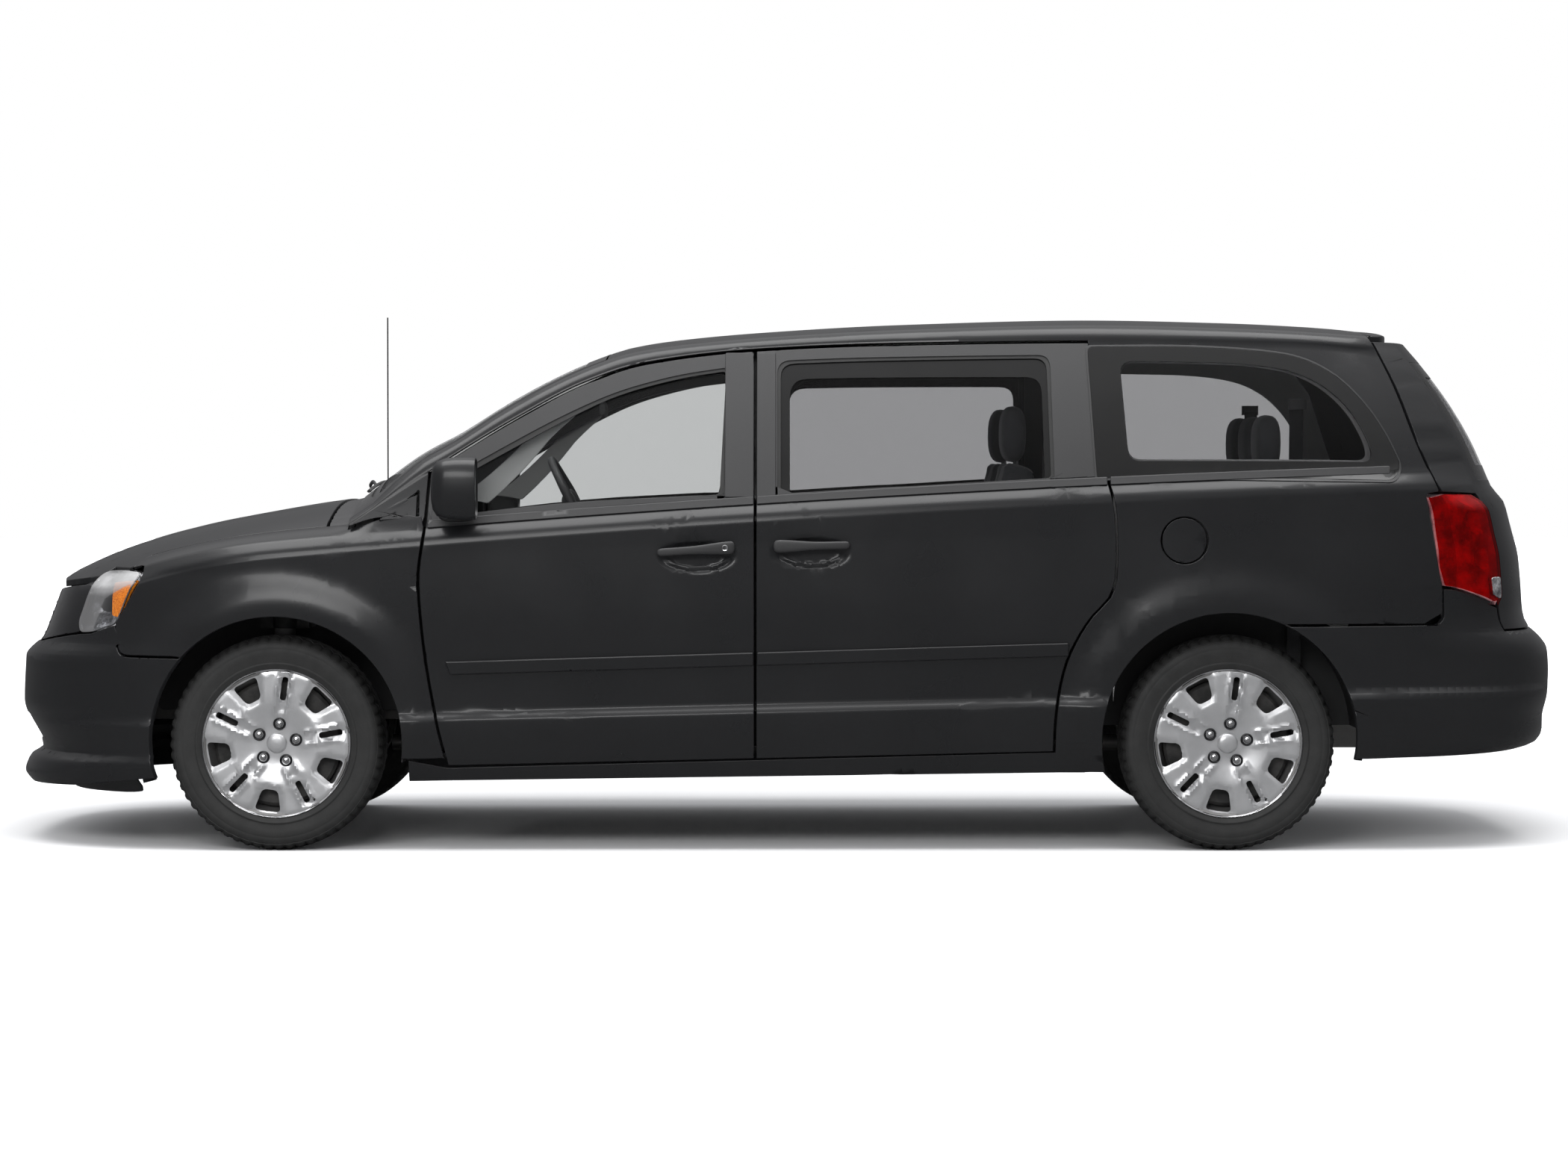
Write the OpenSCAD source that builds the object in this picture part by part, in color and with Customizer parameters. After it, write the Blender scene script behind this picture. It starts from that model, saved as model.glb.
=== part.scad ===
// Minivan: a full-size van body on four wheels, in millimetres.
// The origin is on the ground, midway between the two bumpers. The nose points to -X and the
// left side to -Y. Left-hand pieces are modelled; right-hand pieces are their mirror images.

/* [Overall sizes] */
// Distance between the axles
wheelbase = 3078; // [2600:1:3700]
// Front axle to the foremost point of the bumper
front_overhang = 934; // [900:1:1120]
// Rear axle to the rearmost point of the bumper
rear_overhang = 1140; // [1000:1:1370]
// Width of the body between the outer door skins
body_width = 1950; // [1750:1:2340]
// Ground to the highest point of the roof
roof_height = 1740; // [1600:1:2090]

/* [Body heights] */
// Ground to the base of the side glass, at the middle of the van
belt_height = 1126; // [1080:1:1180]
// Ground to the underside of the sill, at the middle of the van
sill_height = 240; // [200:1:270]
// Ground to the upper face of the cabin floor
floor_height = 420; // [380:1:460]

/* [Doors and panels] */
// Front axle to the front edge of the front door at the belt
door_setback = 483; // [470:1:520]
// Length of the front door along the belt
front_door_length = 1066; // [900:1:1280]
// Gap between neighbouring panels
panel_gap = 8; // [7:0.5:10]
// Thickness of a door below the belt
door_thickness = 60; // [45:1:75]
// Thickness of a door frame above the belt
frame_thickness = 25; // [20:1:28]
// Thickness of fenders, quarter panels, roof and bumpers
wall = 20; // [16:1:26]
// Thickness of the glass
glass_thickness = 6; // [5:0.5:8]

/* [Wheels] */
// Outer diameter of a tyre
tyre_diameter = 696; // [640:1:720]
// Width of a tyre
tyre_width = 216; // [190:1:235]
// Diameter of the rim and of its cover
rim_diameter = 482; // [400:1:500]
// Distance between the middles of the front tyres, and of the rear ones
track = 1650; // [1600:1:1700]
// Radius of the wheel arch openings
arch_radius = 412; // [405:1:425]
// Radius of the stub axles
axle_radius = 30; // [24:1:36]
// Radial clearance of a turning fit
fit_gap = 0.08; // [0.05:0.01:0.1]
// Distance from the middle of the van to the steering axis
kingpin_offset = 676; // [660:1:690]

/* [Hidden] */

// ---- Stations along the van ----
half_width = body_width / 2;
x_nose = -(front_overhang + wheelbase + rear_overhang) / 2;
x_tail = -x_nose;
FA = x_nose + front_overhang;           // front axle
RA = x_tail - rear_overhang;            // rear axle
x_door = FA + door_setback;             // front edge of the front door at the belt
x_pillar = x_door + front_door_length;  // gap between front and sliding door
wheel_z = tyre_diameter / 2;
wheel_y = track / 2;
cowl_x = FA + 230;                      // foot of the windshield, on the centre line
cowl_z = 1150;                          // height there
header_x = FA + 1060;                   // front edge of the roof
roof_end = RA + 470;                    // rear edge of the roof
FAR = 4000;

// ---- Fixed details ----
seat_gap = 0.3;         // between a fixed piece and what carries it
steer_pin = 20;         // radius of a steering pivot
steer_post = 34;        // radius of the knuckle between its pivots
frame_depth = 128;      // from the skin to the pillars and sill, below the belt
pillar_depth = 54;      // the same above the belt
frame_thick = 60;       // thickness of pillars and rails
cabin_half = 790;       // half width of the cabin between the sills
lamp_gap = 0.5;         // round lamps and grille
rim_gap = 0.5;          // round fixed glass and roof
lid_depth = 24;         // thickness of the tailgate skin
lamp_y = 448;           // inner edge of the headlamps
beam_z = 400;           // underside of the front rails and bumper beams
tow_y = 230;            // tow eye, to the right of the middle
tow_hole = 10;          // radius of its bore
plate_spacing = 178;    // between the number plate screws
plate_z = 915;
plate_hole = 3.5;
floor_thickness = 30;
axle_tube = 36;         // radius of the rear axle beam
spindle_end = 20;       // of the stub axles, past the middle of the tyre
arm_z = 180;            // underside of the front crossmember
arm_height = 60;
tower_z = 712;          // underside of the strut towers
shelf_z = 800;          // shelf that carries the dashboard
liner_wall = 6;
rear_liner = 432;       // inner radius of the rear wheel housings
wheelhouse_y = 640;     // inner wall of the rear wheel housings
mirror_x = -1064;
mirror_z = 1178;
column = [FA + 943, -370, 1110];        // middle of the steering wheel
column_tilt = 62;                       // of the steering axis from vertical
column_pin = 12;
arch_lift = 12;         // rear arch above the rear axle
liner_radius = 452;     // wheel liner, clear of the steered tyre
filler_x = RA - 147;
filler_z = 1005;
filler_radius = 72;     // fuel flap
flap_thickness = 12;
sill_front = 298;       // top of the sill ahead of the front door
crash_turn = 10;        // place of the crash boxes on the curve of each bumper

// ---- Small helpers ----
function clamp(v, low = 0, high = 1) = min(max(v, low), high);
function steps(a, b, n) = [for (i = [0:n]) a + (b - a) * i / n];
// Height above the belt, as a share of the glasshouse
function up(share) = belt_height + share * (roof_height - belt_height);

module both_sides() {
    children();
    mirror([0, 1, 0]) children();
}

// Prism across the van from a side-view outline of [x, z] points
module across(outline, y0 = -FAR, y1 = FAR) {
    translate([0, y1, 0]) rotate([90, 0, 0]) linear_extrude(y1 - y0) polygon(outline);
}

// Prism along the van from a front-view outline of [y, z] points
module along(outline, x0, x1) {
    translate([x0, 0, 0]) rotate([90, 0, 90]) linear_extrude(x1 - x0) polygon(outline);
}

// Box between two corners
module block(low, high) {
    translate(low) cube(high - low);
}

// Round bar across the van
module cross_bar(x, z, r, y0, y1) {
    translate([x, y1, z]) rotate([90, 0, 0]) cylinder(r = r, h = y1 - y0, $fn = 64);
}

// Closed sheet between an outer and an inner grid of points
module sheet(outer, inner) {
    rows = len(outer);
    cols = len(outer[0]);
    count = rows * cols;
    function at(i, j) = i * cols + j;
    front = [for (i = [0:rows - 2], j = [0:cols - 2])
        each [[at(i, j), at(i + 1, j + 1), at(i + 1, j)], [at(i, j), at(i, j + 1), at(i + 1, j + 1)]]];
    back = [for (f = front) [f[0] + count, f[2] + count, f[1] + count]];
    ends = [for (i = [0:rows - 2]) each [
        [at(i, 0), at(i + 1, 0) + count, at(i, 0) + count],
        [at(i, 0), at(i + 1, 0), at(i + 1, 0) + count],
        [at(i, cols - 1), at(i, cols - 1) + count, at(i + 1, cols - 1) + count],
        [at(i, cols - 1), at(i + 1, cols - 1) + count, at(i + 1, cols - 1)]]];
    sides = [for (j = [0:cols - 2]) each [
        [at(0, j), at(0, j) + count, at(0, j + 1) + count],
        [at(0, j), at(0, j + 1) + count, at(0, j + 1)],
        [at(rows - 1, j), at(rows - 1, j + 1) + count, at(rows - 1, j) + count],
        [at(rows - 1, j), at(rows - 1, j + 1), at(rows - 1, j + 1) + count]]];
    polyhedron(points = [for (r = outer) each r, for (r = inner) each r],
        faces = concat(front, back, ends, sides), convexity = 8);
}

// ---- Body surface ----
belt_slope = 0.0625;
belt_bend = 0.0000078;
nose_dip = 0.00022;     // extra fall of the belt ahead of the front axle
crease_drop = 50;       // shoulder crease below the belt
lower_slope = 0.024;    // rise of the lower creases
tumblehome = 0.27;
tumblehome_bend = 0.00016;
flare_height = 22;
flare_reach = 150;

function belt(x) = belt_height + belt_slope * x - belt_bend * x * x - nose_dip * pow(max(0, FA - x), 2);
function sill(x) = sill_height + 0.011 * x;
function sill_top(x) = sill_height + 60 + 0.0232 * x;

// Offset of the door skin from the half width, below the shoulder crease
function lower_skin(z) = lookup(z, [
    [190, -60], [230, -45], [330, -14], [440, -2], [452, -2], [478, -18], [620, -10], [800, 0], [1000, -3]]);
function skin_offset(x, z) =
    let (h = z - belt(x))
    h < -crease_drop ? lower_skin(z - lower_slope * x)
    : h < 0 ? lookup(h, [[-crease_drop, -4], [-35, -8], [0, -32]])
    : -36 - tumblehome * h - tumblehome_bend * h * h;

// Plan view: each end is a rounded curve from the body side to the centre line
nose_power = 3.2;
tail_power = 3.6;
x_nose_curve = FA + 300;
x_tail_curve = RA + 150;
function end_share(s, power) = pow(1 - pow(clamp(s, 0, 0.9995), power), 1 / power);
function nose_share(x, z) = end_share((x_nose_curve - x) / (x_nose_curve - nose_line(z)), nose_power);
function tail_share(x, z) = end_share((x - x_tail_curve) / (tail_line(z) - x_tail_curve), tail_power);

// Swelling of the body side round a wheel arch
function flare(x, z) =
    let (r = min(norm([x - FA, z - wheel_z]), norm([x - RA, z - wheel_z - arch_lift])))
    flare_height * (1 - clamp((r - arch_radius) / flare_reach)) * clamp((z - 200) / 100);

// Half width of the van at a place seen from the side
function side(x, z) = (half_width + skin_offset(x, z)) * nose_share(x, z) * tail_share(x, z) + flare(x, z);

// Height of the centre line, from hood to spoiler
function top_line(x) = x < cowl_x
    ? lookup(x - FA, [[-798, 846], [-759, 893], [-713, 917], [-661, 940], [-541, 984], [-389, 1029],
        [-237, 1065], [-84, 1095], [68, 1121], [193, 1140], [230, cowl_z]])
    : lookup(x, [[cowl_x, cowl_z], [FA + 422, up(0.267)], [FA + 568, up(0.394)], [FA + 715, up(0.544)],
        [FA + 861, up(0.675)], [FA + 1008, up(0.782)], [FA + 1135, up(0.85)], [FA + 1287, up(0.89)],
        [FA + 1592, up(0.935)], [FA + 2050, up(0.976)], [RA - 420, up(1)], [RA + 38, up(0.985)],
        [RA + 343, up(0.96)], [RA + 495, up(0.935)], [RA + 670, up(0.875)]]);

// Foremost and rearmost point of the centre line at a height
function nose_line(z) = x_nose + lookup(z, [[190, 27], [228, 2], [254, 10], [280, 25], [305, 64], [331, 60],
    [383, 34], [434, 6], [460, 0], [590, 6], [615, 8], [641, 28], [666, 56], [760, 98], [850, 136],
    [900, 175]]);
function tail_line(z) = x_tail - (z > 1180
    ? lookup((z - 1180) / (roof_height - 1180), [[0, 202], [0.14, 232], [0.28, 268], [0.42, 312],
        [0.56, 364], [0.7, 424], [0.86, 500], [1, 560]])
    : lookup(z, [[290, 190], [331, 41], [370, 21], [408, 21], [486, 5], [563, 0], [602, 2], [641, 7],
        [679, 33], [718, 74], [757, 90], [873, 100], [950, 108], [1028, 129], [1105, 152], [1180, 202]]));

// ---- Upper surface: hood, windshield and roof ----
function rim_line(x) = max(belt(x) + 12, 862);
function crown_width(x) = x < cowl_x ? side(x, belt(x)) - 40 : half_width - 72;
function crown_drop(x) = x < cowl_x ? top_line(x) - rim_line(x)
    : lookup(x, [[cowl_x, cowl_z - rim_line(cowl_x)], [x_door, 60]]);
function top_z(x, y) = top_line(x) - crown_drop(x) * pow(abs(y) / crown_width(x), 2.6);

// Upper edge of the doors
function door_top(x) = lookup(x, [[FA + 180, up(-0.18)], [FA + 495, up(0.161)], [FA + 632, up(0.305)],
    [FA + 793, up(0.461)], [FA + 993, up(0.632)], [FA + 1194, up(0.738)], [x_pillar, up(0.808)],
    [RA - 1120, up(0.837)], [RA - 440, up(0.852)], [RA + 200, up(0.84)], [RA + 700, up(0.76)]]);

// Edge of the roof and windshield, beside the rails
function edge_y(x) = side(x, door_top(x)) - 62;
function edge_z(x) = max(top_z(x, edge_y(x)), door_top(x) + 24);

// Sheet over a plan-view grid, depth0 to depth1 below the upper surface
module top_sheet(xs, wide, depth0, depth1, ny = 12) {
    function place(x, s, d) = [x, s * wide(x), top_z(x, s * wide(x)) - d];
    shares = steps(-1, 1, ny);
    sheet([for (x = xs) [for (s = shares) place(x, s, depth0)]],
        [for (x = xs) [for (s = shares) place(x, s, depth1)]]);
}

// ---- Side sections: points of the left skin from sill to roof edge ----
function low_rows(x) = let (s = lower_slope * x, b = belt(x))
    [190, 330, 440 + s, 452 + s, 478 + s, 620 + s, 800 + s, b - crease_drop, b - 35, b];
function high_rows(x) = [for (share = [0.004, 0.33, 0.66, 1]) belt(x) + share * (door_top(x) - belt(x))];
function side_section(x, low, high) = concat(
    [for (z = low_rows(x)) [x, -side(x, z) + low, z]],
    [for (z = high_rows(x)) [x, -side(x, z) + high, z]],
    [[x, -edge_y(x) - 25 + 0.25 * high, edge_z(x) - 14 - 0.9 * high], [x, -edge_y(x), edge_z(x) - high]]);

// Slab of the left side between two depths, each given below and above the belt
module side_slab(xs, outer, inner) {
    sheet([for (x = xs) side_section(x, outer[0], outer[1])],
        [for (x = xs) side_section(x, inner[0], inner[1])]);
}

// Slab of the part of the left side that lies below the belt
module low_slab(xs, outer, inner) {
    sheet([for (x = xs) [for (z = low_rows(x)) [x, -side(x, z) + outer, z]]],
        [for (x = xs) [for (z = low_rows(x)) [x, -side(x, z) + inner, z]]]);
}

// Nose and tail slabs: a turn of 90 faces the side, and 0 straight ahead or back. On the nose a
// negative turn is on the left, and on the tail a positive one
function nose_at(turn, z, depth) =
    let (a = x_nose_curve - nose_line(z) - depth, b = half_width + skin_offset(FA - 500, z) - depth)
    [x_nose_curve - a * pow(cos(turn), 2 / nose_power),
        b * sign(turn) * pow(abs(sin(turn)), 2 / nose_power), z];
function tail_at(turn, z, depth) =
    let (a = tail_line(z) - x_tail_curve - depth, b = half_width + skin_offset(RA + 650, z) - depth)
    [x_tail_curve + a * pow(cos(turn), 2 / tail_power),
        -b * sign(turn) * pow(abs(sin(turn)), 2 / tail_power), z];
module nose_slab(turns, zs, outer, inner) {
    sheet([for (z = zs) [for (t = turns) nose_at(t, z, outer)]],
        [for (z = zs) [for (t = turns) nose_at(t, z, inner)]]);
}
module tail_slab(turns, zs, outer, inner) {
    sheet([for (z = zs) [for (t = turns) tail_at(t, z, outer)]],
        [for (z = zs) [for (t = turns) tail_at(t, z, inner)]]);
}

// ---- Outlines seen from the side ----
gap = panel_gap / 2;

// Front edge of the front door
function door_edge(z) = x_door + lookup(z, [[200, 93], [294, 69], [449, 33], [611, 5], [738, -10],
    [879, -19], [1043, 0], [1240, 14]]);
// Rear edge of the sliding door
function slide_edge(z) = RA + lookup(z, [[200, -566], [343, -564], [415, -562], [513, -549], [601, -529],
    [680, -495], [758, -446], [827, -385], [886, -367], [984, -364], [1092, -369], [1175, -385],
    [up(0.17), -397], [up(0.55), -421], [up(0.8), -437], [up(1), -440]]);

function front_door_outline(inset = 0) = concat(
    [for (z = steps(sill_top(x_door + 90) + gap + inset, up(0.15) - inset, 7))
        [door_edge(z) + gap + inset, z]],
    [for (x = [FA + 495, FA + 632, FA + 793, FA + 993, FA + 1194])
        [x + 0.4 * (inset + gap), door_top(x) - gap - inset]],
    [[x_pillar - gap - 5 - inset, door_top(x_pillar) - gap - inset], [x_pillar - gap - inset, up(0.05)],
     [x_pillar - gap - inset, sill_top(x_pillar) + gap + inset]]);
function slide_door_outline(inset = 0) = concat(
    [[x_pillar + gap + inset, sill_top(x_pillar) + gap + inset]],
    [for (x = [x_pillar + gap + inset, RA - 441 - inset]) [x, door_top(x) - gap - inset]],
    [for (z = [up(0.55), up(0.17), 1092, 984, 886, 827, 758, 680, 601, 513, 415])
        [slide_edge(z) - gap - inset, z]],
    [[slide_edge(343) - gap - inset, sill_top(RA - 560) + gap + inset]]);

function front_window(inset = 0) = [
    [x_door + 72 + inset, belt(x_door) + 24 + inset], [x_door + 72 + inset, up(0.13) - inset],
    [FA + 640 + inset, up(0.21) - inset], [FA + 893 + inset, up(0.44) - inset], [FA + 1094, up(0.59) - inset],
    [FA + 1295, up(0.68) - inset], [x_pillar - 80 - inset, up(0.72) - inset],
    [x_pillar - 100 - inset, belt(x_pillar) + 20 + inset]];
function slide_window(inset = 0) = [
    [x_pillar + 70 + inset, belt(x_pillar) + 20 + inset], [x_pillar + 70 + inset, up(0.755) - inset],
    [RA - 570 - inset, up(0.785) - inset], [RA - 562 - inset, belt(RA - 560) + 20 + inset]];
function quarter_window(inset = 0) = [
    [RA - 320 + inset, belt(RA - 340) + 30 + inset], [RA - 370 + inset, up(0.8) - inset],
    [RA + 79, up(0.8) - inset], [RA + 230 - inset, up(0.77) - inset], [RA + 331 - inset, up(0.7) - inset],
    [RA + 420 - inset, up(0.58) - inset], [RA + 480 - inset, up(0.41) - inset],
    [RA + 515 - inset, up(0.2)], [RA + 505 - inset, belt(RA + 535) + 20 + inset]];

// ---- Body sides ----
side_xs = concat(steps(FA + 200, x_door + 60, 3), [x_door + 240, FA + 890], steps(header_x, RA - 470, 7),
    steps(RA - 400, roof_end, 7), [RA + 540, RA + 650, RA + 760]);
body_side_outline = concat(
    [[FA + 430, sill(x_door)], [RA - 446, sill(RA)], [RA - 446, 600], [RA - 400, 700], [RA + 428, 735],
     [RA + 640, 742], [RA + 655, 760], [RA + 640, 1150], [RA + 682, 1158], [RA + 614, 1310],
     [RA + 552, 1500], [RA + 480, 1640], [roof_end, up(1)]],
    [[FA + 235, up(1)], [FA + 235, belt(FA + 235) + 26], [x_door - 8, belt(x_door) + 18],
     [x_door - 20, 700], [x_door + 30, 330], [x_door + 30, sill_front], [FA + 430, sill_front]]);

// Room outboard of the pillars for the doors and for the sweep of the front door's edge
door_room = [[-FAR, 200], [-half_width + frame_depth, 200], [-half_width + frame_depth, 1050],
    [-half_width + frame_depth, 1150], [-half_width + frame_depth + 160, up(0.87)], [-FAR, up(0.87)]];

module body_side() {
    difference() {
        intersection() {
            side_slab(side_xs, [0, 0], [frame_depth + frame_thick, pillar_depth + 76]);
            across(body_side_outline);
        }
        intersection() {
            along(door_room, FA, RA);
            union() {
                across([[x_door - 110, sill_front], [x_door - 110, belt(x_door) + 15],
                    [x_door + 100, belt(x_door) + 15], [x_door + 100, sill_front]]);
                across(front_door_outline(-panel_gap));
                across(slide_door_outline(-panel_gap));
            }
        }
        // Hollow behind the quarter panel
        intersection() {
            side_slab(steps(RA - 540, RA + 800, 8), [wall, wall], [400, 300]);
            across([[RA - 400, 120], [RA - 400, 700], [RA - 300, 820], [RA - 280, 1000], [RA - 300, up(0.79)],
                [RA + 130, up(0.82)], [RA + 480, up(0.6)], [RA + 900, 900], [RA + 900, 120]]);
        }
        across(front_door_outline(64));
        across(slide_door_outline(64));
        across(quarter_window());
        // Fixed light ahead of the front door
        across([[x_door - 150, belt(x_door) + 24], [x_door - 22, belt(x_door) + 24],
            [x_door - 22, up(0.06)]]);
        cross_bar(RA, wheel_z + arch_lift, arch_radius, -FAR, 0);
        cross_bar(filler_x, filler_z, filler_radius + panel_gap - 2, -FAR, -half_width + 300);
        block([-FAR, -cabin_half, 0], [RA, 0, 1000]);
    }
    door_stops();
    filler_cup();
}

// Striker and runner blocks that the closed doors lie against, and the fender's bracket
module door_stops() {
    function stop_y(x, z) = 0.5 + door_thickness - min(side(x, z), side(x, z + 40));
    for (place = [[x_pillar - 52, 800], [x_pillar + 22, 800], [x_pillar + 22, 480]])
        block([place.x, stop_y(place.x, place.y), place.y], [place.x + 30, -cabin_half - 10, place.y + 40]);
    runner = slide_edge(840) - gap - 40;
    block([runner, stop_y(runner, 840), 840], [runner + 24, -cabin_half - 10, 880]);
    block([x_door - 70, wall + 0.1 - side(x_door - 60, 660), 640], [x_door - 45, -cabin_half - 10, 720]);
    block([x_door - 70, -half_width + frame_depth + 1, 640], [x_door + 40, -cabin_half - 10, 720]);
}

// Cup behind the fuel flap, with the pad that the closed flap rests on
module filler_cup() {
    y = -side(filler_x, filler_z);
    difference() {
        cross_bar(filler_x, filler_z, filler_radius + 16, y + wall - 3, y + 66);
        cross_bar(filler_x, filler_z, filler_radius + 6, y, y + 58);
    }
    cross_bar(filler_x, filler_z, 22, y + flap_thickness + seat_gap, y + 60);
}
module fuel_flap() {
    y = -side(filler_x, filler_z);
    color("#1d1f24") cross_bar(filler_x, filler_z, filler_radius, y, y + flap_thickness);
}

module body_sides() {
    color("#1d1f24") both_sides() body_side();
}

module roof_panel() {
    stations = [for (x = side_xs) if (x >= header_x && x <= roof_end) max(x, header_x + rim_gap)];
    color("#1d1f24") top_sheet(stations, function (x) edge_y(x) - rim_gap, 0, wall, 10);
}

module windshield() {
    color("#9fb4b8")
        top_sheet(steps(cowl_x + 6, header_x, 8), function (x) edge_y(x) - rim_gap, 0, glass_thickness, 10);
}

module cowl_panel() {
    color("#202226")
        top_sheet(steps(FA + 162, cowl_x + 5, 3), function (x) side(x, belt(x)) - 160, 4, 44, 10);
}

// ---- Hood, fenders and nose ----

module hood() {
    rear = FA + 154;
    front = x_nose + 140;
    // The hood spreads over the headlamps ahead of the fenders, and its front edge is bowed
    function half(x) = side(x, belt(x)) - lookup(x, [[FA - 540, 24], [FA - 460, 118]]);
    function place(u, s, d) =
        let (x = front + (rear - front) * u + 44 * (1 - u) * s * s, y = s * half(x))
        [x, y, top_z(x, y) - d];
    shares = steps(-1, 1, 14);
    color("#1d1f24") difference() {
        sheet([for (u = steps(0, 1, 12)) [for (s = shares) place(u, s, 0)]],
            [for (u = steps(0, 1, 12)) [for (s = shares) place(u, s, wall)]]);
        both_sides() across([[FA - 860, 700], [FA - 860, 848], [FA - 604, 880], [FA - 560, 911],
            [FA - 430, 911], [FA - 430, 700]], -half_width, -lamp_y + 8);
    }
}

module fender() {
    intersection() {
        union() {
            low_slab(concat(steps(FA - 540, FA, 6), steps(FA + 100, x_door + 60, 4)), 0, wall);
            // Shoulder, from the side skin up to the edge of the hood
            sheet([for (x = steps(FA - 540, FA + 230, 7)) [for (s = [0, 0.4, 1]) shoulder(x, s, 0)]],
                [for (x = steps(FA - 540, FA + 230, 7)) [for (s = [0, 0.4, 1]) shoulder(x, s, wall)]]);
        }
        difference() {
            across(concat([[FA - 530, 735], [FA - 530, 664], [FA - 380, 641], [FA + 418, 640],
                [FA + 418, sill_front + gap], [x_door + 60, sill_front + gap]],
                [for (z = [320, 380, 449, 530, 611, 738, 879, 960]) [door_edge(z) - gap, z]],
                [[x_door - gap - 1, belt(x_door) + 14], [cowl_x + 5, belt(cowl_x) + 22], [cowl_x + 4, 1200],
                [FA - 436, 1200], [FA - 436, 890]]));
            cross_bar(FA, wheel_z, arch_radius, -FAR, FAR);
        }
    }
}
function shoulder(x, s, d) =
    let (y0 = side(x, belt(x)), y1 = side(x, belt(x)) - 118 + panel_gap, y = y0 + (y1 - y0) * s,
        z = belt(x) + (top_z(x, y1) - belt(x)) * (1 - pow(1 - s, 2)))
    [x, -y + d * (1 - s), z - d * (0.3 + 0.7 * s)];

module front_fenders() {
    color("#1d1f24") both_sides() fender();
}

bumper_turns = concat([-86, -78, -70, -62, -54, -44, -34, -22], steps(-crash_turn, crash_turn, 2),
    [22, 34, 44, 54, 62, 70, 78, 86]);
module front_bumper() {
    color("#1d1f24") difference() {
        nose_slab(bumper_turns, [195, 228, 254, 305, 331, 383, 434, 460, 590, 615, 641, 655], 0, wall);
        cross_bar(FA, wheel_z, arch_radius, -FAR, FAR);
        across([[FA - 300, 100], [FA - 300, 660], [FA + 500, 660], [FA + 500, 100]]);
        across([[FA - 540, 652], [FA - 380, 632], [FA - 200, 632], [FA - 200, 700], [FA - 540, 700]]);
        // The lower air intake, and above it the window to the tow eye
        block([x_nose - 100, -520, 330], [x_nose + 300, 520, 420]);
        block([x_nose - 100, tow_y - 35, 400], [x_nose + 300, tow_y + 35, beam_z + 85]);
    }
}

module grille() {
    color("#2a2c30") intersection() {
        nose_slab(steps(-40, 40, 8), [655, 666, 700, 760, 820, 846], 4, 44);
        difference() {
            block([x_nose - 50, -lamp_y + lamp_gap, 655 + lamp_gap], [FA, lamp_y - lamp_gap, 822]);
            for (z = [690:30:810]) block([x_nose - 50, -410, z], [FA, 410, z + 12]);
        }
    }
}

headlamp_outline = [[FA - 652, 742], [FA - 602, 706], [FA - 530 - lamp_gap, 735], [FA - 436 - lamp_gap, 890],
    [FA - 436 - lamp_gap, 903],
    [FA - 560, 903], [FA - 604, 872], [FA - 800, 840], [FA - 860, 800], [FA - 850, 690]];
module headlamp() {
    intersection() {
        nose_slab([-84, -78, -72, -66, -60, -54, -46, -38, -30], [690, 720, 760, 820, 870, 905], 2, 60);
        across(headlamp_outline, -FAR, -lamp_y);
    }
}
module headlamps() {
    color("#c9d2d6") both_sides() headlamp();
}

// ---- Doors ----
door_xs = steps(x_door - 40, x_pillar + 20, 7);
module front_door() {
    difference() {
        intersection() {
            side_slab(door_xs, [0, 0], [door_thickness, frame_thickness]);
            across(front_door_outline());
        }
        across(front_window());
    }
}
module door_glass() {
    color("#3a4246") intersection() {
        side_slab(door_xs, [9, 9], [9 + glass_thickness, 9 + glass_thickness]);
        across(front_window(seat_gap));
    }
}

// Housing on a short foot that stands on the door skin at the belt
module door_mirror() {
    foot_y = side(mirror_x - 25, mirror_z - 112) + 1;
    hull() {
        translate([mirror_x - 30, -1060, mirror_z]) scale([0.75, 0.9, 1.25]) sphere(r = 72, $fn = 28);
        translate([mirror_x + 20, -1056, mirror_z]) rotate([0, 90, 0])
            linear_extrude(34) square([190, 130], center = true);
    }
    translate([mirror_x - 25, -1040, mirror_z - 112]) cube([70, 1040 - foot_y, 34]);
    translate([mirror_x - 25, -1040, mirror_z - 112]) cube([50, 50, 60]);
}

module sliding_doors() {
    color("#1d1f24") both_sides() difference() {
        intersection() {
            side_slab(steps(x_pillar - 20, RA - 330, 8), [0, 0], [door_thickness, frame_thickness]);
            across(slide_door_outline());
        }
        across(slide_window());
    }
}

module side_glass() {
    color("#3a4246") both_sides() {
        intersection() {
            side_slab(steps(x_pillar + 50, RA - 540, 5), [9, 9], [9 + glass_thickness, 9 + glass_thickness]);
            across(slide_window(seat_gap));
        }
        intersection() {
            side_slab(steps(RA - 410, RA + 560, 6), [9, 9], [9 + glass_thickness, 9 + glass_thickness]);
            across(quarter_window(seat_gap));
        }
    }
}

// ---- Tail ----
tail_turns = concat([-84, -76, -68, -60, -50, -36, -22], steps(-crash_turn, crash_turn, 2),
    [22, 36, 50, 60, 68, 76, 84]);
lamp_outline = [[RA + 655 + lamp_gap, 760], [RA + 900, 742], [RA + 900, 1150], [RA + 640 + lamp_gap, 1150]];
lamp_inner = 790;       // inner edge of the tail lamps

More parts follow.
